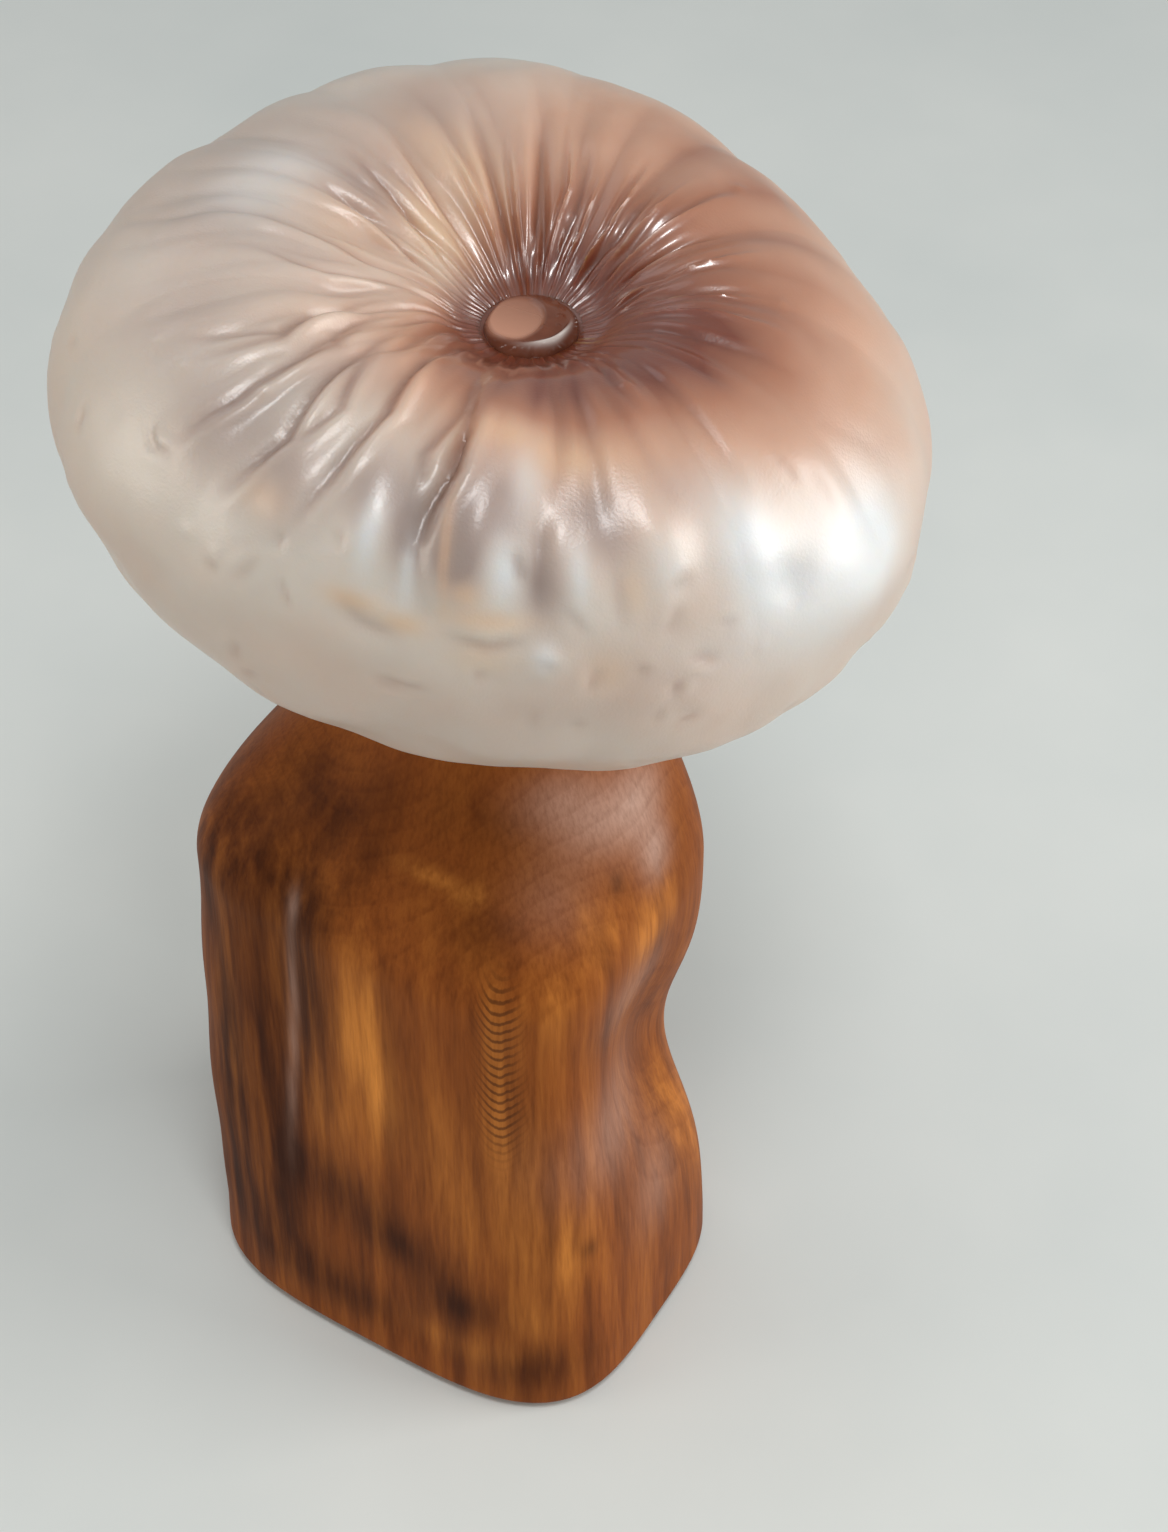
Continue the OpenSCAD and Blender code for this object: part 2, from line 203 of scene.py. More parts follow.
cap = {
    "middle": 376.0,  # height of its widest line above the floor
    "radius": 113.5,
    "rise": 50.0,  # from the widest line up to the crest
    "drop": 57.0,  # and down to the roll under it
    "crestRadius": 62.0,
    "rollRadius": 64.0,
    "wall": 4.0,
    "dimpleDepth": 25.0,
    "dimpleRadius": 14.0,
    "dimplePlace": (9.5, 2.5),
    "foldCount": 14,
    "foldDepth": 1.6,
    "foldWander": 6.0,
    "foldAtSide": 0.35,  # share of the folds that is left at the widest line
    # The outline has three lobes, is a little oval, and has four faint corners
    "lobeSwell": 4.2,
    "lobeDirection": -6.0,
    "ovalSwell": 1.8,
    "ovalDirection": -14.0,
    "cornerSwell": 1.6,
    "cornerDirection": 29.0,
    "outlinePlace": (-1.0, 2.5),
    "leanAngle": 5.7,
    "leanDirection": 25.0,
    "neckInset": 44.0,  # from the widest line down to the ground lip of the neck
    "neckRadius": 37.0,
    "neckBore": 30.5,
    "segments": 512,
    # Rows of points under the cap, below its widest line, above it and in the dimple
    "outerRows": (6, 44, 60, 52),
    "innerRows": (2, 6, 8, 6),
    # Gathers: how many go round, their unevenness and turn in degrees, and a seed; where they start, how
    # fast they rise, where they end and how fast they fall, in mm out from the button; their height
    "finePleats": {"waves": (47, 1.6, 5.0, 0.4), "band": (0, 3, 12, 28), "height": 1.3},
    "softFolds": {"waves": (29, 2.4, 8.0, 1.7), "band": (4, 16, 40, 44), "height": 2.0},
    "longFolds": {"waves": (41, 3.0, 9.0, 4.1), "band": (18, 20, 66, 44), "height": 1.4},
    "collar": (3.0, 5.0),  # height and reach of the rim round the button
    "dents": 64,
    "dentSeed": 11,
    "dentRadius": 110,  # about how far from the cap's axis they lie
    "dentOut": (100, 170),
    "dentLength": (2.5, 6.0),  # half of it
    "dentDepth": (0.35, 0.9),
    "dentWidth": (1.2, 1.8),
    "pipReach": 1.8,
    "innerShare": 0.75,  # of the relief, that the inner skin takes
    # The creases fade towards the neck, and the lumps after them: start and length, in mm out
    "creaseFade": (170, 40),
    "lumpFade": (205, 30),
    # Lumps of the whole skin and of its underside: height, size of one swell, seed
    "lumps": [(1.3, 27.0, 1), (0.35, 11.0, 2)],
    "underLump": (1.4, 21.0, 3),
    # Rose colour, round the cap: how far it washes out, how soft its edge is, how far its heart reaches
    "washReach": [90, 116, 122, 104, 62, 48, 40, 30, 46, 60, 62, 68, 90],  # every 30 degrees
    "washSoft": [44, 52, 44, 38, 30, 28, 44],  # every 60 degrees
    "heartReach": [146, 88, 66, 46, 34, 24, 15, 15, 26, 58, 116, 140, 146],  # every 30 degrees
    # Where it is thickest: direction, spread in degrees, mm out, reach, strength
    "pools": [(354, 22, 42, 18, 0.3), (308, 16, 48, 14, 0.2), (58, 30, 70, 24, 0.24)],
}

# Places on the glass are a direction in degrees and mm out from the button, along the skin.
# Creases: the path, then depth and width in mm. A negative depth makes a sharp ridge, as at the back
creases = [
    ([(291, 30), (293, 52), (294, 67), (294, 78), (292, 88), (291, 99), (293, 120)], 3.3, 2.1),
    ([(288, 34), (291, 56), (288, 74), (290, 90)], 1.6, 1.9),
    ([(262, 16), (274, 46), (278, 66), (276, 89), (272, 110)], 2.3, 1.6),
    ([(246, 16), (260, 50), (266, 84), (264, 94), (261, 110)], 2.1, 1.6),
    ([(212, 12), (240, 44), (246, 61), (237, 88)], 1.5, 1.5),
    ([(230, 16), (252, 52), (257, 78)], 1.4, 1.5),
    ([(222, 14), (238, 36), (248, 62), (244, 86)], 1.6, 1.5),
    ([(238, 20), (255, 54), (255, 82), (251, 106)], 1.7, 1.6),
    ([(256, 34), (270, 70), (267, 92)], 1.3, 1.5),
    ([(206, 10), (216, 30), (221, 42), (216, 64)], 1.6, 1.8),
    ([(196, 8), (206, 30), (207, 52), (203, 76)], 1.4, 2.0),
    ([(190, 8), (189, 30), (186, 58)], 1.6, 2.0),
    ([(176, 8), (174, 30), (170, 62)], 1.5, 2.2),
    ([(158, 8), (158, 30), (156, 58)], 1.6, 2.4),
    ([(142, 3), (142, 22), (144, 50)], -1.5, 1.1),
    ([(134, 8), (134, 24), (133, 60)], 1.8, 2.6),
    ([(127, 3), (127, 20), (124, 48)], -1.6, 1.1),
    ([(119, 8), (117, 24), (114, 60)], 1.8, 2.6),
    ([(112, 3), (107, 19), (104, 32), (108, 54)], -1.7, 1.1),
    ([(103, 8), (99, 24), (101, 50)], 1.5, 2.2),
    ([(97, 3), (94, 19), (94, 44)], -1.5, 1.0),
    ([(86, 3), (80, 23), (82, 58)], -1.8, 1.2),
    ([(80, 8), (73, 24), (75, 50)], 1.4, 2.0),
    ([(73, 3), (66, 24), (68, 56)], -1.6, 1.1),
    ([(62, 3), (57, 26), (58, 68)], -1.7, 1.4),
    ([(52, 3), (46, 24), (46, 58)], -1.5, 1.2),
    ([(42, 3), (33, 28), (37, 64)], -1.5, 1.2),
    ([(28, 3), (20, 30), (21, 66)], -1.3, 1.2),
    ([(16, 3), (10, 34), (12, 70)], -1.2, 1.3),
    ([(2, 6), (0, 40), (4, 80)], 0.6, 1.6),
    ([(350, 6), (349, 42), (352, 70)], 0.5, 1.6),
    ([(341, 10), (339, 50), (340, 71), (340, 98)], 0.55, 1.4),
    ([(330, 12), (328, 44), (330, 66)], 0.6, 1.4),
    ([(310, 26), (312, 60), (311, 94)], 0.65, 1.8),
    ([(317, 34), (318, 72), (317, 96)], 0.5, 1.8),
    ([(322, 30), (326, 64), (328, 95)], 0.45, 1.9),
    ([(309, 84), (308, 96), (307, 116)], 0.7, 1.9),
    ([(318, 98), (318, 118)], 0.4, 1.8),
    ([(347, 82), (349, 95)], 0.35, 1.4),
    ([(351, 88), (352, 107)], 0.3, 1.6),
    ([(358, 78), (3, 94), (7, 108)], 0.3, 3.0),
    ([(246, 98), (250, 106)], 0.7, 1.2),
    ([(266, 124), (268, 119), (270, 113)], 0.6, 1.3),
    ([(273, 115), (275, 126)], 0.8, 1.2),
    ([(286, 137), (290, 138), (294, 136)], 0.7, 1.3),
    ([(294, 119), (301, 121), (307, 117)], 0.9, 1.8),
    ([(280, 116), (285, 121), (291, 123)], 0.9, 2.6),
    ([(319, 125), (321, 128)], 0.6, 1.4),
    ([(311, 143), (313, 147)], 0.6, 1.4),
    ([(322, 140), (322, 145)], 0.6, 1.3),
]

# Broad swells and hollows: direction, mm out, reach across, reach inwards, reach outwards, height
swells = [
    (299, 88, 9, 24, 17, 3.8),
    (284, 91, 8, 22, 15, 3.6),
    (271, 92, 7, 18, 14, 1.8),
    (313, 100, 7, 16, 11, 2.8),
    (325, 94, 8, 22, 16, 2.2),
    (337, 101, 9, 20, 14, 3.0),
    (354, 118, 20, 26, 20, 2.4),
    (341, 114, 6, 6, 7, -1.5),
    (308, 124, 4, 4, 4, 1.0),
    (293, 114, 5, 5, 5, -1.6),
    (58, 50, 6, 18, 18, 1.4),
    (40, 62, 8, 16, 16, 1.2),
    (214, 70, 14, 12, 14, 1.6),
    (196, 64, 12, 12, 14, 1.4),
    (182, 60, 10, 14, 16, 1.2),
    (236, 84, 12, 14, 16, 1.6),
    (252, 92, 9, 16, 16, 1.6),
    (160, 62, 10, 14, 16, 1.2),
]

# Painted highlights where the lamps shine on the satin skin, painted shade where the dark inside shows
# through and between the swells, and painted glow where light from the wood shines through:
# direction, mm out, reach across, reach along, strength
paintedHighlights = [
    (184, 18, 7, 9, 0.35), (284, 98, 3, 9, 0.9), (290, 105, 2, 9, 0.6), (306, 78, 4, 12, 0.45),
    (303, 101, 4, 8, 0.8), (313, 102, 3, 8, 0.65), (308, 123, 3, 4, 0.8), (337, 102, 8, 14, 0.9),
    (346, 119, 30, 20, 0.8), (356, 116, 12, 12, 0.8), (325, 102, 5, 9, 0.5), (200, 62, 12, 10, 0.4),
    (186, 60, 10, 10, 0.4),
]
# Painted shade
paintedShades = [
    (284, 88, 9, 11, 0.9), (297, 90, 9, 16, 1.0), (308, 104, 6, 12, 0.9), (315, 86, 9, 12, 0.8),
    (270, 92, 12, 14, 0.7), (330, 84, 8, 12, 0.45), (341, 114, 5, 7, 0.4), (256, 87, 14, 16, 0.75),
    (236, 76, 16, 18, 0.45), (208, 66, 18, 16, 0.35), (289, 97, 4, 10, 0.8), (303, 86, 5, 10, 0.8),
    (162, 64, 40, 30, 0.3), (187, 70, 26, 26, 0.3), (262, 60, 12, 12, 0.4), (318, 92, 5, 10, 0.5),
    (178, 39, 13, 12, 0.65), (145, 53, 14, 14, 0.45), (215, 48, 14, 14, 0.25), (326, 126, 40, 16, 0.25),
    (8, 132, 40, 18, 0.2), (328, 111, 11, 10, 0.45), (296, 101, 7, 8, 0.7), (200, 104, 50, 28, 0.3),
]
# Painted glow of the wood seen through the glass
paintedGlows = [
    (283, 116, 7, 3, 0.9), (290, 119, 6, 3, 0.9), (298, 108, 4, 3, 0.7), (301, 114, 11, 3, 0.8),
    (300, 124, 8, 5, 0.55), (316, 127, 6, 6, 0.5), (320, 106, 3, 6, 0.45), (295, 98, 1.5, 14, 0.7),
    (302, 66, 10, 5, 0.6), (313, 72, 8, 5, 0.5), (268, 100, 6, 5, 0.5), (168, 26, 7, 12, 0.8),
    (150, 40, 8, 18, 0.5), (184, 20, 8, 10, 0.4), (196, 40, 9, 12, 0.4), (137, 36, 7, 12, 0.4),
    (215, 118, 60, 26, 0.25), (328, 112, 12, 9, 0.3), (318, 74, 14, 8, 0.35),
]

# Small pips where a crease runs out or a bubble has burst: direction, mm out, height
pips = [
    (237, 85, 0.9), (244, 84, 0.9), (257, 76, 0.9), (258, 118, 0.6), (21, 62, 0.8),
    (330, 48, 0.7), (290, 104, 0.5), (304, 96, 0.4), (252, 70, 0.5), (60, 66, 0.8), (336, 128, 0.5),
]


def smallDents():
    # Short dents from the tools and the cooling glass, strewn over the outside
    chance = random.Random(cap["dentSeed"])
    dents = []
    for count in range(cap["dents"]):
        direction, out = chance.uniform(0, 360), chance.uniform(*cap["dentOut"])
        turn, length = chance.uniform(0, 2 * math.pi), chance.uniform(*cap["dentLength"])
        side = math.degrees(length * math.cos(turn) / cap["dentRadius"])
        along = length * math.sin(turn)
        bend = chance.uniform(-0.8, 0.8)
        start, end = (direction - side, out - along), (direction + side, out + along)
        path = [start, (direction + bend, out + bend), end]
        dents.append((path, chance.uniform(*cap["dentDepth"]), chance.uniform(*cap["dentWidth"])))
    return dents


def capSkin(inset, rows):
    # Radius, height, facing angle and fold share of each row, from the neck up to the rim of the dimple
    t = np.linspace(0, 1, rows[0], endpoint=False)
    under = [
        mix(cap["neckRadius"], cap["rollRadius"], t),
        inset - cap["drop"] + (cap["drop"] - cap["neckInset"]) * (1 - smooth(t)),
        np.full_like(t, -90.0),
        np.zeros_like(t),
    ]
    p = np.linspace(-90, 0, rows[1], endpoint=False)
    cosine, sine = np.cos(np.radians(p)), np.sin(np.radians(p))
    lower = [
        mix(cap["rollRadius"], cap["radius"] - inset, cosine),
        (cap["drop"] - inset) * sine,
        p,
        cap["foldAtSide"] * (1 + sine),
    ]
    p = np.linspace(0, 90, rows[2], endpoint=False)
    cosine, sine = np.cos(np.radians(p)), np.sin(np.radians(p))
    upper = [
        mix(cap["crestRadius"], cap["radius"] - inset, cosine),
        (cap["rise"] - inset) * sine,
        p,
        mix(cap["foldAtSide"], 1.0, sine),
    ]
    t = np.linspace(0, 1, rows[3])
    dimple = [
        mix(cap["crestRadius"], cap["dimpleRadius"], t),
        cap["rise"] - inset - cap["dimpleDepth"] * t * t,
        np.full_like(t, 90.0),
        1 - smooth(t),
    ]
    return np.hstack([under, lower, upper, dimple]).T


def capRow(radius, height):
    # One row without folds that faces up
    return [[radius, height, 90.0, 0.0]]


def capPoints(rows, angle):
    # Places of all rows and spokes of the cap in mm; rows down, spokes across
    radius, height, facing, foldShare = (rows[:, [i]] for i in range(4))
    turned = np.radians(angle)
    strayed = angle + cap["foldWander"] * np.sin(2 * turned + 0.7)
    folded = np.sin(np.radians(cap["foldCount"] * strayed / 2))
    push = cap["foldDepth"] * (np.abs(folded) - 0.64) * foldShare  # 0.64 is the mean of the folds
    swell = cap["lobeSwell"] * np.cos(3 * (turned - math.radians(cap["lobeDirection"])))
    swell = swell + cap["ovalSwell"] * np.cos(2 * (turned - math.radians(cap["ovalDirection"])))
    swell = swell + cap["cornerSwell"] * np.cos(4 * (turned - math.radians(cap["cornerDirection"])))
    top = height > 0
    dimpleShare = (radius - cap["dimpleRadius"]) / (cap["crestRadius"] - cap["dimpleRadius"])
    neckShare = (radius - cap["neckRadius"]) / (cap["rollRadius"] - cap["neckRadius"])
    share = smooth(np.where(top, dimpleShare, neckShare))
    offCentre = 1 - smooth((radius - cap["dimpleRadius"]) / (cap["radius"] - cap["dimpleRadius"]))
    offCentre = np.where(top, offCentre, 0.0)
    shift = (1 - offCentre) * share
    reach = radius + push * np.cos(np.radians(facing)) + swell * share * radius / cap["radius"]
    x = reach * np.cos(turned) + cap["dimplePlace"][0] * offCentre + cap["outlinePlace"][0] * shift
    y = reach * np.sin(turned) + cap["dimplePlace"][1] * offCentre + cap["outlinePlace"][1] * shift
    direction = math.radians(cap["leanDirection"])
    downhill = x * math.cos(direction) + y * math.sin(direction)
    lean = -math.tan(math.radians(cap["leanAngle"])) * downhill
    z = cap["middle"] + height + push * np.sin(np.radians(facing)) + lean * share
    return np.stack([x, y, z], axis=-1)


def gathers(angle, out, count, wanderBy, turnBy, seed):
    # Gathered cloth-like waves: 0 in the valleys and 1 on the ridges
    turned = np.radians(angle)
    uneven = wanderBy * (np.sin(2 * turned + seed) + 0.6 * np.sin(5 * turned + 2.1 * seed))
    drift = turnBy * np.sin(turned + seed) * out / 60
    return np.abs(np.sin(np.radians(count * (angle + uneven + drift)) / 2))


def unevenness(angle, out, seed):
    # No two gathers are alike: between 0.3 and 1 round the cap
    turned = np.radians(angle)
    wave = np.sin(9 * turned + seed + out / 23) + 0.8 * np.sin(14 * turned + 2.3 * seed)
    return 0.65 + 0.15 * (wave + 0.6 * np.sin(23 * turned))


def creaseShape(path, depth, width, angle, out, radius):
    # Height change that one crease gives, and how much painted shade its valley gives each point
    nearest = np.full(angle.shape, 1e6)
    side = np.zeros(angle.shape)
    along = np.zeros(angle.shape)
    for index, ((a0, s0), (a1, s1)) in enumerate(zip(path, path[1:])):
        px = np.radians(angleGap(angle, a0)) * radius
        py = out - s0
        qx = math.radians(angleGap(a1, a0)) * radius
        qy = s1 - s0
        t = np.clip((px * qx + py * qy) / (qx * qx + qy * qy), 0, 1)
        dx, dy = px - t * qx, py - t * qy
        gap = np.hypot(dx, dy)
        closer = gap < nearest
        nearest = np.where(closer, gap, nearest)
        side = np.where(closer, np.sign(dx * qy - dy * qx), side)
        along = np.where(closer, (index + t) / (len(path) - 1), along)
    # Creases crowd together and get narrower towards the button
    narrow = 0.95 * width * np.clip(radius / cap["crestRadius"], 0.4, 1.0)
    q = nearest / narrow
    ends = smooth(along / 0.45) * smooth((1 - along) / 0.4)
    # A narrow valley, with a fold that stands up on one side and a long slope down to it on the other
    core = 0.75 * np.exp(-q ** 1.5)
    lip = np.where(side > 0, 0.75 * bell(q - 1.9, 1.2), 0.22 * bell(q - 2.6, 1.4))
    slope = np.where(side > 0, 0.15 * bell(q, 5.0), 0.6 * bell(q, 6.0))
    # The deepest creases, of 3 mm or more, get the darkest painted shade
    deep = ends * bell(q, 1.0) * np.clip(depth / 3.0, 0.0, 1.0)
    return depth * ends * (lip - core - slope), deep


def capRelief(angle, out, radius):
    # Height of the relief in mm, and how much painted shade each point gets in the valleys of the
    # creases, pleats and folds
    relief = np.zeros(angle.shape)
    valley = np.zeros(angle.shape)
    swirl = 26 * bell(angleGap(angle, 235), 50) * (1 - smooth(out / 46))
    turned = angle + swirl
    # Fine pleats crowd round the button, on a collar that climbs its rim
    pleats = cap["finePleats"]
    fineAmount = band(out, *pleats["band"]) * unevenness(angle, out, 0.9)
    fine = 1 - gathers(turned, out, *pleats["waves"]) ** 0.7
    relief += fineAmount * pleats["height"] * (fine - 0.35)
    # Painted shade in the valleys of the pleats
    valley += fineAmount * 0.15 * (1 - fine)
    collarHeight, collarReach = cap["collar"]
    relief += collarHeight * bell(out, collarReach)
    # Softer folds carry the pleats on outwards; the front is calmer
    folds = cap["softFolds"]
    calmFront = 1 - 0.8 * bell(angleGap(angle, 322), 46) - 0.5 * bell(angleGap(angle, 8), 34)
    softAmount = band(out, *folds["band"]) * unevenness(angle, out, 2.2) * calmFront
    soft = gathers(turned, out, *folds["waves"])
    relief += softAmount * folds["height"] * (soft - 0.62)
    # Painted shade in the valleys of the folds
    valley += softAmount * 0.2 * (1 - soft) ** 2
    # On the left the folds run far out and fade there
    folds = cap["longFolds"]
    longAmount = band(out, *folds["band"]) * bell(angleGap(angle, 228), 66)
    long = gathers(turned + 5 * np.sin(out / 17), out, *folds["waves"])
    relief += longAmount * unevenness(angle, out, 3.7) * folds["height"] * (long - 0.62)
    for path, depth, width in creases + smallDents():
        shape, deep = creaseShape(path, depth, width, angle, out, radius)
        relief += shape
        valley = np.maximum(valley, deep)
    for direction, place, across, inward, outward, height in swells:
        dx = np.radians(angleGap(angle, direction)) * radius
        ds = out - place
        relief += height * bell(dx, across) * bell(ds, np.where(ds < 0, inward, outward))
    for direction, place, height in pips:
        dx = np.radians(angleGap(angle, direction)) * radius
        relief += height * np.exp(-(dx * dx + (out - place) ** 2) / cap["pipReach"] ** 2)
    return relief, np.clip(valley, 0, 1)


def soften(values):
    # Each point takes half of its height from its neighbours, so that slanting creases have no steps
    around = np.roll(values, 1, axis=1) + np.roll(values, -1, axis=1)
    padded = np.vstack([values[:1], values, values[-1:]])
    return 0.5 * values + 0.15 * around + 0.1 * (padded[2:] + padded[:-2])


def markShare(angle, out, radius, marks):
    share = np.zeros(angle.shape)
    for direction, place, across, along, strength in marks:
        dx = np.radians(angleGap(angle, direction)) * radius
        share += strength * bell(dx, across) * bell(out - place, along)
    return np.clip(share, 0, 1)


def roseShare(angle, out):
    # The rose was gathered on the pipe: strongest round the button, and it runs out to the back right
    turned = angle % 360
    thirties, sixties = np.arange(0, 361, 30), np.arange(0, 361, 60)
    reach = np.interp(turned, thirties, cap["washReach"])
    soft = np.interp(turned, sixties, cap["washSoft"])
    wash = 1 - smooth((out - reach + soft) / (2 * soft))
    heart = 1 - smooth((out - 4) / np.interp(turned, thirties, cap["heartReach"]))
    # Some rose is added on the underside, from 110 mm out
    blush = 0.18 * smooth((out - 110) / 34)
    # It is thickest in front of the button and to its right, and in the valleys between the folds it is
    # made stronger as painted shade
    pool = 0
    for direction, spread, place, length, strength in cap["pools"]:
        pool = pool + strength * bell(angleGap(angle, direction), spread) * bell(out - place, length)
    pool = pool * (1.3 - 0.7 * gathers(angle, out, *cap["softFolds"]["waves"]))
    return 0.45 * wash + 0.55 * heart + blush + pool


def innerOut(inner, outer, outerOut):
    # Each inner row takes the place of the outer row that faces it
    result = []
    for r, z, facing, share in inner:
        gap = np.hypot(outer[:, 0] - r, outer[:, 1] - z)
        result.append(outerOut[np.argmin(gap)])
    return np.array(result)


def buildCap():
    # The rows run from the middle of the inner skin down to the neck, round its ground lip, and up the
    # outer skin to the middle again
    wall, bore = cap["wall"], cap["neckBore"]
    floor = cap["rise"] - cap["dimpleDepth"]
    inner = capSkin(wall, cap["innerRows"])[::-1]
    outer = capSkin(0.0, cap["outerRows"])
    ring = cap["dimpleRadius"] / 2
    innerMiddle = [capRow(0.0, floor - wall), capRow(ring, floor - wall)]
    outerMiddle = [capRow(ring, floor), capRow(0.0, floor)]
    foot = -cap["neckInset"]
    lip = [(bore + 0.7, foot + wall), (bore, foot + wall - 0.4), (bore, foot + 0.5), (bore + 0.5, foot),
           (cap["neckRadius"] - 0.6, foot)]
    rows = np.vstack(innerMiddle + [inner] + [capRow(r, z) for r, z in lip] + [outer] + outerMiddle)
    firstInner = len(innerMiddle)
    firstOuter = firstInner + len(inner) + len(lip)
    innerPart = slice(firstInner, firstInner + len(inner))
    outerPart = slice(firstOuter, firstOuter + len(outer))
    count = len(rows)
    segments = cap["segments"]
    obj, row, spoke = newSkin("glassCap", segments, count)
    angle = np.arange(segments)[None, :] * 360.0 / segments
    points = capPoints(rows, angle)

    # How far out from the button each row lies, along the skin, and how much of the relief it takes
    steps = np.hypot(np.diff(outer[:, 0]), np.diff(outer[:, 1]))
    outerOut = np.concatenate([[0], np.cumsum(steps)])
    outerOut = outerOut[-1] - outerOut
    out = np.zeros(count)
    out[outerPart] = outerOut
    out[innerPart] = innerOut(inner, outer, outerOut)
    amount = np.zeros(count)
    amount[outerPart] = 1.0
    amount[innerPart] = cap["innerShare"]
    start, length = cap["lumpFade"]
    lumpAmount = amount * (1 - smooth((out - start) / length))
    start, length = cap["creaseFade"]
    amount *= 1 - smooth((out - start) / length)

    grid = np.broadcast_to(angle, (count, segments))
    outGrid = np.broadcast_to(out[:, None], (count, segments))
    radiusGrid = np.broadcast_to(np.maximum(rows[:, [0]], 1.0), (count, segments))
    relief, valley = (soften(values) for values in capRelief(grid, outGrid, radiusGrid))
    flat = points.reshape(-1, 3)
    lumps = sum(height * wander(flat, size, seed) for height, size, seed in cap["lumps"])
    height, size, seed = cap["underLump"]
    under = height * smooth((outGrid - 95) / 60)
    relief = relief + under * wander(flat, size, seed).reshape(count, segments)
    relief = relief * amount[:, None] + lumps.reshape(count, segments) * lumpAmount[:, None]

    # The relief stands along the skin's normal
    down = np.gradient(points, axis=0)
    around = np.roll(points, -1, axis=1) - np.roll(points, 1, axis=1)
    normal = np.cross(around, down)
    length = np.linalg.norm(normal, axis=-1, keepdims=True)
    normal = normal / np.maximum(length, 1e-9)
    # The inner skin moves the same way as the outer one, so its normal is turned round
    normal[:firstOuter] *= -1
    points = points + normal * relief[..., None]

    writePoints(obj, points[row, spoke] * mm)
    # Rose colour, painted shade in the valleys, and the painted highlights, shade and glow of the marks
    paintVertices(obj, "rose", roseShare(grid, outGrid)[row, spoke])
    paintVertices(obj, "valley", valley[row, spoke])
    for name, marks in (("white", paintedHighlights), ("grey", paintedShades), ("warm", paintedGlows)):
        paintVertices(obj, name, markShare(grid, outGrid, radiusGrid, marks)[row, spoke])
    closeSkin(obj)
    shadeSmooth(obj, 75)
    return obj


glassCap = buildCap()
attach(glassCap, "cap")
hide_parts("glass_cap")
print("glass cap built")


# Glass button: the sealed end of the bubble, left glossy, with one flat ground spot

button = {
    "place": (9.5, 2.5, 400.2),
    "radius": 12.5,
    "height": 7.5,
    "rim": 4.6,
    "fullness": 0.66,  # of the side: 1 is an ellipse, and less is squarer
    "spot": (-3.3, -2.0),
    "spotReach": (7.4, 8.6),  # across the line that spotTurn gives, and along it
    "spotTurn": 31.0,
    "spotDip": 1.5,
    "spotTilt": 0.06,
    # Rolled lip, and the painted highlight along it: direction, spread in degrees, mm out, width
    "lip": (335, 62, 10.8, 1.0),
    "lipHeight": 1.9,
    "lipHighlight": (335, 34, 10.9, 0.5),
    "lipHighlightShare": 1.3,
    # Place and size of each bubble
    "bubbles": [(7.0, 3.6, 1.0), (8.4, 0.2, 0.7), (5.6, -2.4, 0.7), (5.4, 6.6, 0.6), (2.2, 9.0, 0.8)],
    "segments": 160,
    "rows": 90,
}


def lipShare(angle, out, lip):
    direction, spread, place, width = lip
    return bell(angleGap(angle, direction), spread) * bell(out - place, width)


def buildButton():
    obj, row, spoke = newSkin("glassButton", button["segments"], button["rows"])
    rows = button["rows"]
    t = np.arange(rows) / (rows - 1)
    # From the middle of the foot, out along it, up the side and in over the top
    p = np.pi * (t - 0.5)
    radius = button["radius"] * np.abs(np.cos(p)) ** button["fullness"]
    rise = np.sin(p)
    height = np.where(rise < 0, 0.5 * button["rim"] * (1 + rise), 0.0)
    top = 0.5 * button["rim"] + (button["height"] - 0.5 * button["rim"]) * rise
    height = np.where(rise < 0, height, top)
    turned = 2 * np.pi * spoke / button["segments"]
    edge = 1 + 0.025 * np.sin(3 * turned + 0.5) + 0.015 * np.sin(7 * turned + 1.2)
    r = radius[row] * edge
    x, y, z = r * np.cos(turned), r * np.sin(turned), height[row].copy()
    # The spot is ground flat and dips a little to the left
    angle = math.radians(button["spotTurn"])
    dx, dy = x - button["spot"][0], y - button["spot"][1]
    across = (dx * math.cos(angle) + dy * math.sin(angle)) / button["spotReach"][0]
    away = (dy * math.cos(angle) - dx * math.sin(angle)) / button["spotReach"][1]
    inSpot = 1 - smooth((np.hypot(across, away) - 0.86) / 0.28)
    flat = button["height"] - button["spotDip"] + button["spotTilt"] * dx
    onTop = z > 0.5 * button["rim"]
    z = np.where(onTop, mix(z, np.minimum(z, flat), inSpot), z)
    # A rolled lip stands up round the lower right
    direction, out = np.degrees(turned), np.hypot(x, y)
    z = z + np.where(onTop, button["lipHeight"] * lipShare(direction, out, button["lip"]), 0.0)
    # Small bubbles broke the surface on the right
    for bubbleX, bubbleY, size in button["bubbles"]:
        near = bell(np.hypot(x - bubbleX, y - bubbleY), size)
        z = z + np.where(onTop, 0.8 * size * near, 0.0)
    points = np.stack([x, y, z], axis=-1) + np.array(button["place"])
    writePoints(obj, points * mm)
    # The spot's pale colour is painted lighter on its near side and darker on its far side: painted light
    spotPaintedLight = np.clip(0.75 - 0.3 * away - 0.15 * across, 0, 1)
    paintVertices(obj, "spot", np.where(onTop, inSpot * spotPaintedLight, 0.0))
    # A painted highlight along the lower right of the lip
    clear = np.clip(button["lipHighlightShare"] * lipShare(direction, out, button["lipHighlight"]), 0, 1)
    paintVertices(obj, "lip", np.where(onTop, clear, 0.0))
    closeSkin(obj)
    shadeSmooth(obj, 60)
    return obj


glassButton = buildButton()
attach(glassButton, "cap")
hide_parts("glass_button")
print("glass button built")


# Wood block: one piece of softwood, carved and sanded by hand

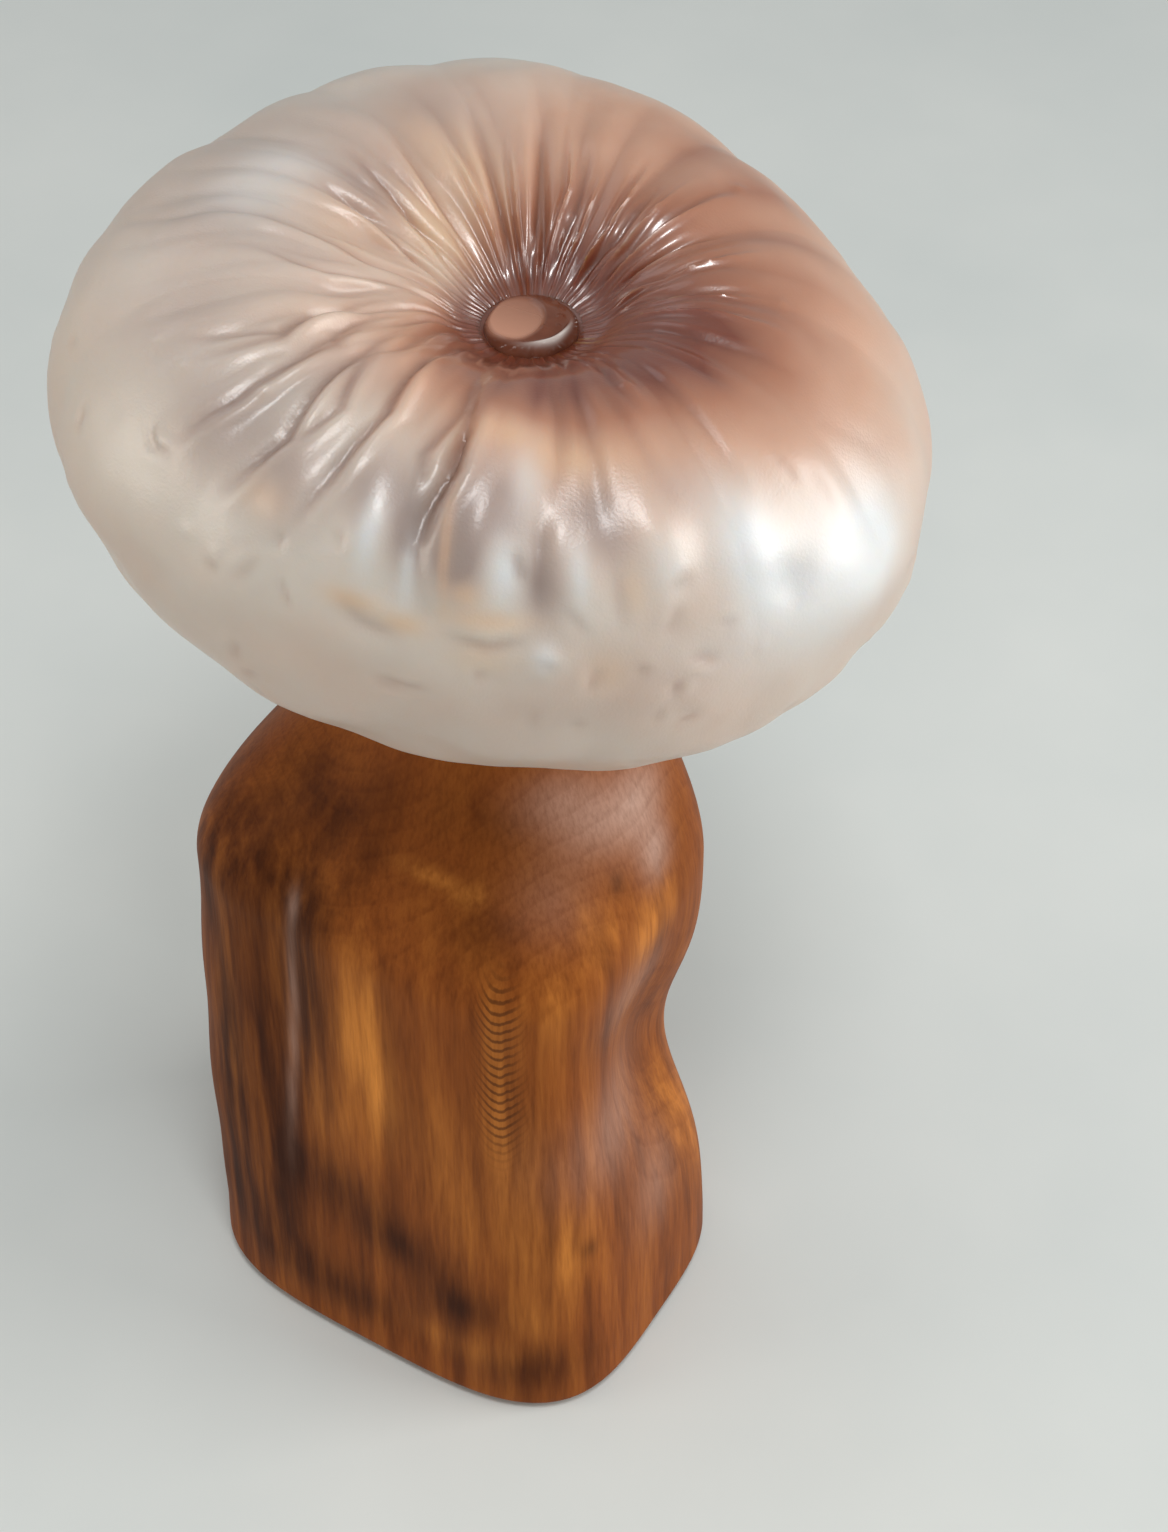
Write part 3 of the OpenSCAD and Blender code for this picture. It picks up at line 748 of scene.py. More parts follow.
block = {
    "width": 149.0,
    "depth": 113.5,
    "middle": (-15.0, -11.0),
    "footSpread": 4.5,
    "footRound": 4.0,
    "foot": 2.0,  # height of the underside, which the felt fills
    "squareness": 3.6,  # of the plan: 2 is an ellipse
    "shoulderStart": 200.0,
    "shoulderTop": 292.0,
    "postRadius": 38.0,
    "postTop": 314.0,
    "postRound": 3.0,
    "counterbore": (18.0, 22.0),  # radius, height of its top
    "rodHole": 5.3,
    "segments": 320,
    "bodyRows": 84,
    "shoulderRows": 60,
    # Unevenness of the sanding: height, squeeze along the grain, size of one swell, seed
    "uneven": [(0.9, 0.45, 34.0, 5), (0.3, 0.4, 13.0, 6)],
    # Hollows: direction, height, depth, spread in degrees, spread in height, height change per degree
    "hollows": [
        (16, 127, 17.0, 31, 40, -0.9),
        (246, 160, 3.0, 9, 80, 0.0),
        (215, 190, 1.4, 25, 25, 0.0),
        (215, 96, -1.4, 25, 25, 0.0),
    ],
}


def planRadius(turned, halfX, halfY, square):
    # A rounded rectangle, seen from its middle: an ellipse where square is 2, and squarer above that
    across = np.abs(np.cos(turned) / halfX) ** square
    along = np.abs(np.sin(turned) / halfY) ** square
    return (across + along) ** (-1 / square)


def blockPoints(rows, turned):
    # Each row is its height, how far it has closed in on the neck, how far it is rounded in, and its size
    z, blend, inset, scale = (rows[:, [i]] for i in range(4))
    spread = block["footSpread"] * np.maximum(0, 1 - z / block["shoulderStart"])
    halfX = mix(block["width"] / 2 + spread, block["postRadius"], blend) - inset
    halfY = mix(block["depth"] / 2 + spread, block["postRadius"], blend) - inset
    r = planRadius(turned, halfX, halfY, mix(block["squareness"], 2.0, blend))
    angle = np.degrees(turned)
    for direction, height, depth, wide, tall, slope in block["hollows"]:
        da = angleGap(angle, direction)
        dz = z - height - slope * da
        r = r - depth * bell(da, wide) * bell(dz, tall) * (1 - blend)
    r = r * scale
    x = block["middle"][0] * (1 - blend) + r * np.cos(turned)
    y = block["middle"][1] * (1 - blend) + r * np.sin(turned)
    return np.stack([x, y, np.broadcast_to(z, x.shape)], axis=-1)


def blockRows():
    foot, footRound = block["foot"], block["footRound"]
    bottom = [(foot, 0.0, footRound, s) for s in (0.0, 0.35, 0.62, 0.8, 0.93, 0.985)]
    rounding = []
    for a in np.radians(np.linspace(0, 90, 8)):
        rounding.append((foot + footRound * (1 - math.cos(a)), 0.0, footRound * (1 - math.sin(a)), 1.0))
    start, end = block["shoulderStart"], block["shoulderTop"]
    body = [(z, 0.0, 0.0, 1.0) for z in np.linspace(foot + footRound, start, block["bodyRows"])[1:]]
    steps = np.linspace(0, 1, block["shoulderRows"])[1:]
    shoulder = [(mix(start, end, t), smooth(t), 0.0, 1.0) for t in steps]
    top, rim = block["postTop"], block["postRound"]
    rimRows = []
    for a in np.radians(np.linspace(0, 90, 6)):
        rimRows.append((top - rim * (1 - math.sin(a)), 1.0, rim * (1 - math.cos(a)), 1.0))
    cover = [(top, 1.0, rim, s) for s in (0.985, 0.93, 0.75, 0.4, 0.0)]
    return np.array(bottom + rounding + body + shoulder + rimRows + cover)


def cutCylinder(obj, radius, low, high):
    deselectAll()
    bpy.ops.mesh.primitive_cylinder_add(
        vertices=64, radius=radius * mm, depth=(high - low) * mm, location=(0, 0, (high + low) / 2 * mm))
    cutter = bpy.context.object
    cut = obj.modifiers.new("cut", "BOOLEAN")
    cut.operation = "DIFFERENCE"
    cut.solver = "EXACT"
    cut.object = cutter
    applyModifiers(obj)
    bpy.data.objects.remove(cutter)


def buildBlock():
    rows = blockRows()
    segments = block["segments"]
    obj, row, spoke = newSkin("woodBlock", segments, len(rows))
    turned = 2 * np.pi * np.arange(segments)[None, :] / segments
    points = blockPoints(rows, turned)[row, spoke]
    # Sanded by hand: the faces are never quite even
    body = band(points[:, 2], 8, 20, 262, 30)
    uneven = 0
    for height, squeeze, size, seed in block["uneven"]:
        uneven = uneven + height * wander(points * np.array([1, 1, squeeze]), size, seed)
    outward = points * np.array([1, 1, 0]) - np.array([*block["middle"], 0])
    outward /= np.maximum(np.linalg.norm(outward, axis=1, keepdims=True), 1e-6)
    points = points + outward * (uneven * body)[:, None]
    writePoints(obj, points * mm)
    closeSkin(obj)
    cutCylinder(obj, block["counterbore"][0], block["foot"] - 1, block["counterbore"][1])
    cutCylinder(obj, block["rodHole"], 0, block["postTop"] + 1)
    shadeSmooth(obj, 40)
    return obj


# Where the stain took more or less, and where shade and sheen are painted: place in mm, reach across and
# up, strength
palePatches = [
    ((-3, -69, 149), 6, 26, 1.0), ((-14, -68, 166), 7, 20, 0.7), ((-8, -68, 190), 10, 18, 0.4),
    ((13, -69, 133), 10, 30, 0.35), ((-24, -67, 128), 8, 18, 0.45), ((9, -55, 243), 9, 2.4, 0.9),
    ((20, -52, 240), 5, 3.4, 0.8), ((54, -36, 224), 7, 14, 0.6), ((58, -11, 209), 10, 12, 0.95),
    ((52, -54, 215), 6, 20, 0.5), ((54, -54, 85), 7, 22, 0.6), ((48, -64, 52), 8, 14, 0.4),
    ((58, 14, 92), 16, 28, 0.4),
    ((20, -70, 30), 20, 8, 0.3), ((-66, -66, 150), 5, 60, 0.45), ((58, 30, 60), 12, 26, 0.35),
    ((24, -66, 100), 9, 26, 0.35), ((-30, -66, 190), 10, 40, 0.3), ((44, -64, 100), 8, 30, 0.3),
    ((36, -64, 186), 5, 36, 0.3), ((40, -66, 142), 12, 22, 0.35),
    # On the back and the narrow end
    ((-10, 46, 168), 8, 32, 0.7), ((28, 45, 108), 7, 30, 0.6), ((-52, 45, 80), 9, 34, 0.5),
    ((-90, -12, 176), 8, 30, 0.6), ((-92, 14, 96), 9, 36, 0.5), ((-30, 30, 254), 12, 6, 0.5),
]
# Darker stain, with painted shade on the left side, low near the floor and under the cap
darkStainAndShade = [
    ((-58, -64, 150), 28, 90, 0.4), ((50, -64, 30), 16, 12, 0.4), ((-33, -66, 174), 14, 44, 0.85),
    ((-38, -67, 121), 12, 20, 0.2), ((60, -14, 120), 34, 90, 0.22), ((12, -70, 44), 20, 14, 0.3),
    ((26, -56, 229), 11, 13, 0.55), ((-62, -64, 215), 26, 36, 0.6), ((-62, -66, 106), 22, 66, 0.7),
    ((-56, -70, 44), 28, 30, 0.75), ((-28, -50, 252), 24, 16, 0.6), ((-31, -62, 220), 16, 14, 0.35),
    ((-24, -70, 88), 22, 17, 0.8), ((-1, -70, 70), 18, 14, 0.85), ((24, -69, 53), 14, 12, 0.8),
    ((-26, -72, 28), 26, 14, 0.75), ((52, -50, 88), 4, 7, 0.5), ((56, -30, 182), 16, 12, 0.35),
    ((-24, 46, 112), 24, 26, 0.5), ((30, 44, 190), 20, 22, 0.45), ((-60, 44, 196), 22, 34, 0.4),
    ((-90, 10, 50), 26, 24, 0.5), ((-84, 4, 220), 22, 16, 0.4), ((10, 46, 40), 30, 14, 0.4),
    # A small knot and an insect hole on the shoulder, and a knot low on the edge
    ((52, -23, 235), 3, 4, 0.9), ((47, -6, 252), 2, 2, 0.8), ((58, -47, 85), 3, 5, 0.7),
    # Painted shade under the cap, low near the floor and on the narrow left end
    ((20, -42, 262), 18, 10, 0.35), ((40, -66, 20), 24, 12, 0.6), ((-86, -20, 130), 16, 110, 0.5),
]
# Painted sheen, where the lamps reflect in the varnish on the shoulder and the right face
sheenPatches = [
    ((48, -5, 250), 14, 12, 0.85), ((54, -4, 232), 8, 9, 0.7), ((36, -28, 266), 12, 9, 0.4),
    ((43, -22, 256), 12, 10, 0.45), ((42, -41, 240), 12, 14, 0.2), ((57, -30, 130), 24, 22, 0.35),
    ((58, -20, 186), 16, 14, 0.25), ((61, -11, 81), 14, 22, 0.3),
    # Painted sheen along the carved groove
    ((-43, -67, 88), 1.8, 18, 0.3), ((-41, -67, 118), 1.8, 18, 0.35), ((-39, -66, 148), 1.8, 18, 0.4),
    ((-37, -66, 178), 1.8, 18, 0.45), ((-35, -64, 208), 2.0, 18, 0.45),
]
ladderPatches = [
    ((36, -64, 166), 5.2, 20, 2.0), ((36, -64, 206), 5.2, 17, 2.0),
]


def patchShare(points, patches):
    share = np.zeros(len(points))
    for place, across, up, strength in patches:
        away = np.hypot(points[:, 0] - place[0], points[:, 1] - place[1])
        share += strength * bell(away, across) * bell(points[:, 2] - place[2], up)
    return np.clip(share, 0, 1)


woodBlock = buildBlock()
woodPoints = readPoints(woodBlock) / mm
allPatches = {"pale": palePatches, "dark": darkStainAndShade, "paintedSheen": sheenPatches, "ladder": ladderPatches}
for patchName, patches in allPatches.items():
    paintVertices(woodBlock, patchName, patchShare(woodPoints, patches))
paintVertices(woodBlock, "shoulder", smooth((woodPoints[:, 2] - 205) / 45))
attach(woodBlock, "base")
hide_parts("wood_body")
print("wood block built")


# Materials

waveStep = 0.314  # a Wave texture of scale 1 repeats after this many metres


def satinGlass():
    # Blown soda-lime glass, etched with acid: a satin skin that spreads light, rose where it was gathered
    material, tree, place = startMaterial("blown glass, acid etched satin")
    rose = addNode(tree, "ShaderNodeAttribute", attribute_name="rose").outputs["Fac"]
    valley = addNode(tree, "ShaderNodeAttribute", attribute_name="valley").outputs["Fac"]
    cloud = addNode(tree, "ShaderNodeTexNoise", {
        "Vector": place, "Scale": 1 / (45 * mm), "Detail": 3.0, "Roughness": 0.55})
    uneven = addNode(tree, "ShaderNodeMath", {0: cloud, 1: 0.5}, operation="SUBTRACT")
    spread = addNode(tree, "ShaderNodeMath", {0: uneven, 1: 0.35, 2: rose}, operation="MULTIPLY_ADD")
    colour = addNode(tree, "ShaderNodeValToRGB", {"Fac": spread}, stops=[
        (0.0, "#EADBCE"), (0.2, "#E5C8B6"), (0.45, "#D9AA90"), (0.7, "#B57A5D"), (1.0, "#80391B")])
    # Painted shade, painted highlights and painted glow of the wood, laid over the glass colour
    marks = [("grey", "#A18C84", 0.85), ("white", "#F4F3F2", 0.9), ("warm", "#F3C6A0", 0.75)]
    for name, hexCode, strength in marks:
        mark = addNode(tree, "ShaderNodeAttribute", attribute_name=name).outputs["Fac"]
        share = addNode(tree, "ShaderNodeMath", {0: mark, 1: strength}, operation="MULTIPLY")
        colour = addNode(tree, "ShaderNodeMix", {
            "Factor": share, "A": colour, "B": hexCode}, data_type="RGBA")
    # Painted shade darkens the valleys of the creases, pleats and folds
    deep = addNode(tree, "ShaderNodeMix", {
        "Factor": valley, "A": colour, "B": "#BFA193"}, data_type="RGBA", blend_type="MULTIPLY")
    # The pits of the etch are finer than can show, so they are drawn 0.8 mm wide
    grit = addNode(tree, "ShaderNodeTexNoise", {"Vector": place, "Scale": 1 / (0.8 * mm), "Detail": 1.0})
    ripple = addNode(tree, "ShaderNodeTexNoise", {"Vector": place, "Scale": 1 / (12 * mm), "Detail": 2.0})
    fineBump = addNode(tree, "ShaderNodeBump", {"Height": grit, "Strength": 0.2, "Distance": 0.3 * mm})
    bump = addNode(tree, "ShaderNodeBump", {
        "Height": ripple, "Strength": 0.25, "Distance": 0.8 * mm, "Normal": fineBump})
    # The etch is thinner where the glass is gathered, so that the gather keeps its fire polish
    polish = addNode(tree, "ShaderNodeMapRange", {
        "Value": rose, "From Min": 0.42, "From Max": 0.8, "To Min": 0.0, "To Max": 0.85})
    shader = addNode(tree, "ShaderNodeBsdfPrincipled", {
        "Base Color": deep,
        "Roughness": 0.37,
        "IOR": 1.5,
        "Specular IOR Level": 1.0,
        "Transmission Weight": 0.15,
        "Coat Weight": polish,
        "Coat Roughness": 0.13,
        "Subsurface Weight": 0.5,
        "Subsurface Radius": (1.0, 0.7, 0.5),
        "Subsurface Scale": 12 * mm,
        "Normal": bump,
    })
    addNode(tree, "ShaderNodeOutputMaterial", {"Surface": shader})
    return material


def roseGlass():
    # The same glass without the etch, thicker and so darker; the ground spot is matt
    material, tree, place = startMaterial("rose glass, fire polished")
    spot = addNode(tree, "ShaderNodeAttribute", attribute_name="spot").outputs["Fac"]
    cloud = addNode(tree, "ShaderNodeTexNoise", {"Vector": place, "Scale": 1 / (6 * mm), "Detail": 3.0})
    body = addNode(tree, "ShaderNodeValToRGB", {"Fac": cloud}, stops=[
        (0.3, "#74402C"), (0.7, "#8A5039")])
    # The ground spot is paler, and painted light makes it lighter on its near side
    colour = addNode(tree, "ShaderNodeMix", {
        "Factor": spot, "A": body, "B": "#DDA286"}, data_type="RGBA")
    # A painted highlight, nearly white, along the lower right of the lip
    lip = addNode(tree, "ShaderNodeAttribute", attribute_name="lip").outputs["Fac"]
    colour = addNode(tree, "ShaderNodeMix", {
        "Factor": lip, "A": colour, "B": "#F0E4DC"}, data_type="RGBA")
    gloss = addNode(tree, "ShaderNodeMapRange", {"Value": spot, "To Min": 0.06, "To Max": 0.42})
    bump = addNode(tree, "ShaderNodeBump", {"Height": cloud, "Strength": 0.25, "Distance": 0.8 * mm})
    shader = addNode(tree, "ShaderNodeBsdfPrincipled", {
        "Base Color": colour,
        "Roughness": gloss,
        "IOR": 1.5,
        "Transmission Weight": 0.25,
        "Normal": bump,
    })
    addNode(tree, "ShaderNodeOutputMaterial", {"Surface": shader})
    return material


def stainedWood():
    # Fir with brown oil stain and satin varnish: soft earlywood drinks it in, hard latewood stands out
    material, tree, place = startMaterial("fir, stained and satin varnished")
    pale = addNode(tree, "ShaderNodeAttribute", attribute_name="pale").outputs["Fac"]
    dark = addNode(tree, "ShaderNodeAttribute", attribute_name="dark").outputs["Fac"]
    pith = addNode(tree, "ShaderNodeMapping", {
        "Vector": place, "Location": (22 * mm, 4 * mm, 0),
        "Rotation": (math.radians(3), math.radians(-4), 0), "Scale": (1.0, 1.0, 0.1)})
    rings = addNode(tree, "ShaderNodeTexWave", {
        "Vector": pith, "Scale": waveStep / (3.2 * mm), "Distortion": 6.0, "Detail": 2.0,
        "Detail Scale": 0.25, "Detail Roughness": 0.5},
        wave_type="RINGS", rings_direction="Z", wave_profile="SAW")
    grain = addNode(tree, "ShaderNodeMapping", {"Vector": place, "Scale": (1.0, 1.0, 0.07)})
    streaks = addNode(tree, "ShaderNodeTexNoise", {
        "Vector": grain, "Scale": 1 / (8 * mm), "Detail": 4.0, "Roughness": 0.55})
    # Single fibres are too fine to show, so they are drawn as bundles 1.2 mm wide
    fibres = addNode(tree, "ShaderNodeTexNoise", {
        "Vector": grain, "Scale": 1 / (1.2 * mm), "Detail": 3.0, "Roughness": 0.6})
    stain = addNode(tree, "ShaderNodeTexNoise", {
        "Vector": grain, "Scale": 1 / (30 * mm), "Detail": 3.0, "Roughness": 0.6, "Distortion": 0.4})
    # The shoulders cut across the grain, so the stain lies there in soft clouds
    shoulder = addNode(tree, "ShaderNodeAttribute", attribute_name="shoulder").outputs["Fac"]
    clouded = addNode(tree, "ShaderNodeMath", {0: shoulder, 1: 0.8}, operation="MULTIPLY")
    depth = addNode(tree, "ShaderNodeMix", {
        "Factor": clouded, "A": streaks, "B": stain}, data_type="FLOAT")
    base = addNode(tree, "ShaderNodeValToRGB", {"Fac": depth}, stops=[
        (0.30, "#6A3410"), (0.5, "#A65B22"), (0.72, "#CE7C32")])
    cloudy = addNode(tree, "ShaderNodeMix", {
        "Factor": stain, "A": base, "B": "#84451A"}, data_type="RGBA")
    paleStreak = addNode(tree, "ShaderNodeMapRange", {
        "Value": streaks, "From Min": 0.38, "From Max": 0.62, "To Min": 0.3, "To Max": 1.0})
    paleAmount = addNode(tree, "ShaderNodeMath", {0: pale, 1: paleStreak}, operation="MULTIPLY")
    glow = addNode(tree, "ShaderNodeMix", {
        "Factor": paleAmount, "A": cloudy, "B": "#F09A44"}, data_type="RGBA")
    # Dark stain and painted shade go deepest in the streaks, and the hard grain between them stands out
    # of them
    darkStreak = addNode(tree, "ShaderNodeMapRange", {
        "Value": streaks, "From Min": 0.36, "From Max": 0.64, "To Min": 1.1, "To Max": 0.55})
    darkAmount = addNode(tree, "ShaderNodeMath", {0: dark, 1: darkStreak},
                         operation="MULTIPLY", use_clamp=True)
    shade = addNode(tree, "ShaderNodeMix", {
        "Factor": darkAmount, "A": glow, "B": "#401A02"}, data_type="RGBA")
    # Painted sheen of the lamps on the varnish
    paintedSheen = addNode(tree, "ShaderNodeAttribute", attribute_name="paintedSheen").outputs["Fac"]
    withPaintedSheen = addNode(tree, "ShaderNodeMix", {
        "Factor": paintedSheen, "A": shade, "B": "#CBA594"}, data_type="RGBA")
    # Where the face runs along a bent growth ring, the ring shows as a ladder of small bows
    ladderX, ladderStep, ladderStray, ladderBend = 36 * mm, 4.1 * mm, 7 * mm, -150.0
    spot = addNode(tree, "ShaderNodeSeparateXYZ", {"Vector": place})
    offset = addNode(tree, "ShaderNodeMath", {0: spot.outputs["X"], 1: ladderX}, operation="SUBTRACT")
    squared = addNode(tree, "ShaderNodeMath", {0: offset, 1: offset}, operation="MULTIPLY")
    bowed = addNode(tree, "ShaderNodeMath", {
        0: squared, 1: ladderBend, 2: spot.outputs["Z"]}, operation="MULTIPLY_ADD")
    unsteady = addNode(tree, "ShaderNodeMath", {
        0: streaks, 1: ladderStray, 2: bowed}, operation="MULTIPLY_ADD")
    rung = addNode(tree, "ShaderNodeMath", {
        0: unsteady, 1: 2 * math.pi / ladderStep}, operation="MULTIPLY")
    wave = addNode(tree, "ShaderNodeMath", {0: rung}, operation="SINE")
    line = addNode(tree, "ShaderNodeMapRange", {
        "Value": wave, "From Min": 0.1, "From Max": 0.8, "To Min": 0.0, "To Max": 0.7})
    ladder = addNode(tree, "ShaderNodeAttribute", attribute_name="ladder").outputs["Fac"]
    rungShare = addNode(tree, "ShaderNodeMath", {0: ladder, 1: line}, operation="MULTIPLY")
    runged = addNode(tree, "ShaderNodeMix", {
        "Factor": rungShare, "A": withPaintedSheen, "B": "#542C12"}, data_type="RGBA")
    ringLine = addNode(tree, "ShaderNodeValToRGB", {"Fac": rings.outputs["Fac"]}, stops=[
        (0.0, "#FFFFFF"), (0.62, "#F2EAE2"), (0.9, "#B08E72"), (1.0, "#E8DCD0")])
    ringed = addNode(tree, "ShaderNodeMix", {
        "Factor": 0.17, "A": runged, "B": ringLine}, data_type="RGBA", blend_type="MULTIPLY")
    fibreLine = addNode(tree, "ShaderNodeValToRGB", {"Fac": fibres}, stops=[
        (0.3, "#B8A698"), (0.6, "#FFFFFF")])
    fibred = addNode(tree, "ShaderNodeMix", {
        "Factor": 0.4, "A": ringed, "B": fibreLine}, data_type="RGBA", blend_type="MULTIPLY")
    relief = addNode(tree, "ShaderNodeMath", {0: rings.outputs["Fac"], 1: 0.6, 2: fibres},
                     operation="MULTIPLY_ADD")
    bump = addNode(tree, "ShaderNodeBump", {"Height": relief, "Strength": 0.22, "Distance": 0.5 * mm})
    gloss = addNode(tree, "ShaderNodeMapRange", {"Value": stain, "To Min": 0.42, "To Max": 0.62})
    shader = addNode(tree, "ShaderNodeBsdfPrincipled", {
        "Base Color": fibred,
        "Roughness": gloss,
        "Specular IOR Level": 0.07,
        "IOR": 1.5,
        "Normal": bump,
    })
    addNode(tree, "ShaderNodeOutputMaterial", {"Surface": shader})
    return material


def woolFelt():
    # Wool felt, needle pressed: matted short fibres, quite dull, drawn as tufts 0.8 mm wide
    material, tree, place = startMaterial("wool felt, needle pressed")
    fibres = addNode(tree, "ShaderNodeTexNoise", {
        "Vector": place, "Scale": 1 / (0.8 * mm), "Detail": 4.0, "Distortion": 1.2})
    colour = addNode(tree, "ShaderNodeValToRGB", {"Fac": fibres}, stops=[
        (0.3, "#2B2724"), (0.7, "#4A443F")])
    bump = addNode(tree, "ShaderNodeBump", {"Height": fibres, "Strength": 0.8, "Distance": 0.6 * mm})
    shader = addNode(tree, "ShaderNodeBsdfPrincipled", {
        "Base Color": colour, "Roughness": 0.95, "Sheen Weight": 0.3, "Normal": bump})
    addNode(tree, "ShaderNodeOutputMaterial", {"Surface": shader})
    return material


def zincSteel():
    # Mild steel, zinc plated: a grey metal with a cloudy bloom
    material, tree, place = startMaterial("mild steel, zinc plated")
    bloom = addNode(tree, "ShaderNodeTexNoise", {"Vector": place, "Scale": 1 / (5 * mm), "Detail": 3.0})
    colour = addNode(tree, "ShaderNodeValToRGB", {"Fac": bloom}, stops=[
        (0.3, "#A3A7AA"), (0.7, "#C3C6C8")])
    gloss = addNode(tree, "ShaderNodeMapRange", {"Value": bloom, "To Min": 0.24, "To Max": 0.46})
    # The rolled thread of the rod, 1.5 mm from crest to crest
    thread = addNode(tree, "ShaderNodeTexWave", {
        "Vector": place, "Scale": waveStep / (1.5 * mm)},
        wave_type="BANDS", bands_direction="Z", wave_profile="TRI")
    bump = addNode(tree, "ShaderNodeBump", {
        "Height": thread.outputs["Fac"], "Strength": 0.6, "Distance": 0.6 * mm})
    shader = addNode(tree, "ShaderNodeBsdfPrincipled", {
        "Base Color": colour, "Metallic": 1.0, "Roughness": gloss, "Normal": bump})
    addNode(tree, "ShaderNodeOutputMaterial", {"Surface": shader})
    return material


def turnedBrass():
    # Brass, turned on a lathe and left to dull: rings from the tool, drawn 0.6 mm apart, and warm tarnish
    material, tree, place = startMaterial("brass, lathe turned")
    tool = addNode(tree, "ShaderNodeTexWave", {
        "Vector": place, "Scale": waveStep / (0.6 * mm), "Distortion": 0.3},
        wave_type="RINGS", rings_direction="Z", wave_profile="SIN")
    tarnish = addNode(tree, "ShaderNodeTexNoise", {"Vector": place, "Scale": 1 / (9 * mm), "Detail": 4.0})
    colour = addNode(tree, "ShaderNodeValToRGB", {"Fac": tarnish}, stops=[
        (0.3, "#A87C3C"), (0.6, "#C9A05A"), (0.75, "#D6B374")])
    gloss = addNode(tree, "ShaderNodeMapRange", {"Value": tarnish, "To Min": 0.42, "To Max": 0.2})
    bump = addNode(tree, "ShaderNodeBump", {
        "Height": tool.outputs["Fac"], "Strength": 0.25, "Distance": 0.1 * mm})
    shader = addNode(tree, "ShaderNodeBsdfPrincipled", {
        "Base Color": colour, "Metallic": 1.0, "Roughness": gloss, "Normal": bump})
    addNode(tree, "ShaderNodeOutputMaterial", {"Surface": shader})
    return material


def pressedCork():
    # Agglomerated cork, pressed from 2 mm granules: tan grains with dark bark specks between them
    material, tree, place = startMaterial("agglomerated cork, pressed")
    grains = addNode(tree, "ShaderNodeTexVoronoi", {"Vector": place, "Scale": 1 / (2 * mm)})
    shade = addNode(tree, "ShaderNodeSeparateColor", {"Color": grains.outputs["Color"]})
    grainColour = addNode(tree, "ShaderNodeValToRGB", {"Fac": shade.outputs["Red"]}, stops=[
        (0.0, "#7E5430"), (0.25, "#AD7C4C"), (1.0, "#CC9C68")])
    seam = addNode(tree, "ShaderNodeMapRange", {
        "Value": grains.outputs["Distance"], "From Min": 0.35, "From Max": 0.75})
    colour = addNode(tree, "ShaderNodeMix", {
        "Factor": seam, "A": grainColour, "B": "#5C3A20"}, data_type="RGBA")
    bump = addNode(tree, "ShaderNodeBump", {
        "Height": grains.outputs["Distance"], "Strength": 0.6, "Distance": 0.5 * mm}, invert=True)
    shader = addNode(tree, "ShaderNodeBsdfPrincipled", {
        "Base Color": colour, "Roughness": 0.85, "Specular IOR Level": 0.3, "Normal": bump})
    addNode(tree, "ShaderNodeOutputMaterial", {"Surface": shader})
    return material


def plainBeech():
    # Beech, turned and waxed: even pale pink brown, with short dark flecks 0.5 mm wide along the grain
    material, tree, place = startMaterial("beech, turned and waxed")
    grain = addNode(tree, "ShaderNodeMapping", {"Vector": place, "Scale": (1.0, 1.0, 0.2)})
    bands = addNode(tree, "ShaderNodeTexNoise", {"Vector": grain, "Scale": 1 / (6 * mm), "Detail": 3.0})
    flecks = addNode(tree, "ShaderNodeTexNoise", {
        "Vector": grain, "Scale": 1 / (0.5 * mm), "Detail": 1.0})
    colour = addNode(tree, "ShaderNodeValToRGB", {"Fac": bands}, stops=[
        (0.3, "#C39A6C"), (0.7, "#D8B486")])
    fleckShare = addNode(tree, "ShaderNodeMapRange", {
        "Value": flecks, "From Min": 0.6, "From Max": 0.7, "To Max": 0.6})
    flecked = addNode(tree, "ShaderNodeMix", {
        "Factor": fleckShare, "A": colour, "B": "#8C6440"}, data_type="RGBA")
    bump = addNode(tree, "ShaderNodeBump", {"Height": flecks, "Strength": 0.2, "Distance": 0.2 * mm})
    shader = addNode(tree, "ShaderNodeBsdfPrincipled", {
        "Base Color": flecked, "Roughness": 0.48, "Specular IOR Level": 0.35, "Normal": bump})
    addNode(tree, "ShaderNodeOutputMaterial", {"Surface": shader})
    return material


def clearSilicone():
    # Clear silicone sealant, tooled by finger and cured: milky, soft gloss, slightly uneven
    material, tree, place = startMaterial("silicone sealant, cured")
    waves = addNode(tree, "ShaderNodeTexNoise", {"Vector": place, "Scale": 1 / (4 * mm), "Detail": 2.0})
    colour = addNode(tree, "ShaderNodeValToRGB", {"Fac": waves}, stops=[
        (0.3, "#D2CFC6"), (0.7, "#E4E2DA")])
    bump = addNode(tree, "ShaderNodeBump", {"Height": waves, "Strength": 0.3, "Distance": 0.4 * mm})
    shader = addNode(tree, "ShaderNodeBsdfPrincipled", {
        "Base Color": colour, "Roughness": 0.32, "IOR": 1.41,
        "Transmission Weight": 0.35, "Normal": bump})
    addNode(tree, "ShaderNodeOutputMaterial", {"Surface": shader})
    return material


giveMaterial(glassCap, satinGlass())
giveMaterial(glassButton, roseGlass())
giveMaterial(woodBlock, stainedWood())
steel, brass = zincSteel(), turnedBrass()
nodeFinishes = {
    "base_felt": woolFelt(),
    "tie_rod": steel,
    "rod_nut": steel,
    "rod_washer": steel,
    "seat_plate": brass,
    "pin": brass,
    "cork_ring": pressedCork(),
    "neck_plug": plainBeech(),
    "bond_ring": clearSilicone(),
}
for node, finish in nodeFinishes.items():
    giveMaterial(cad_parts[node], finish)
print("materials given")


# Floor, soft studio light and neutral fill

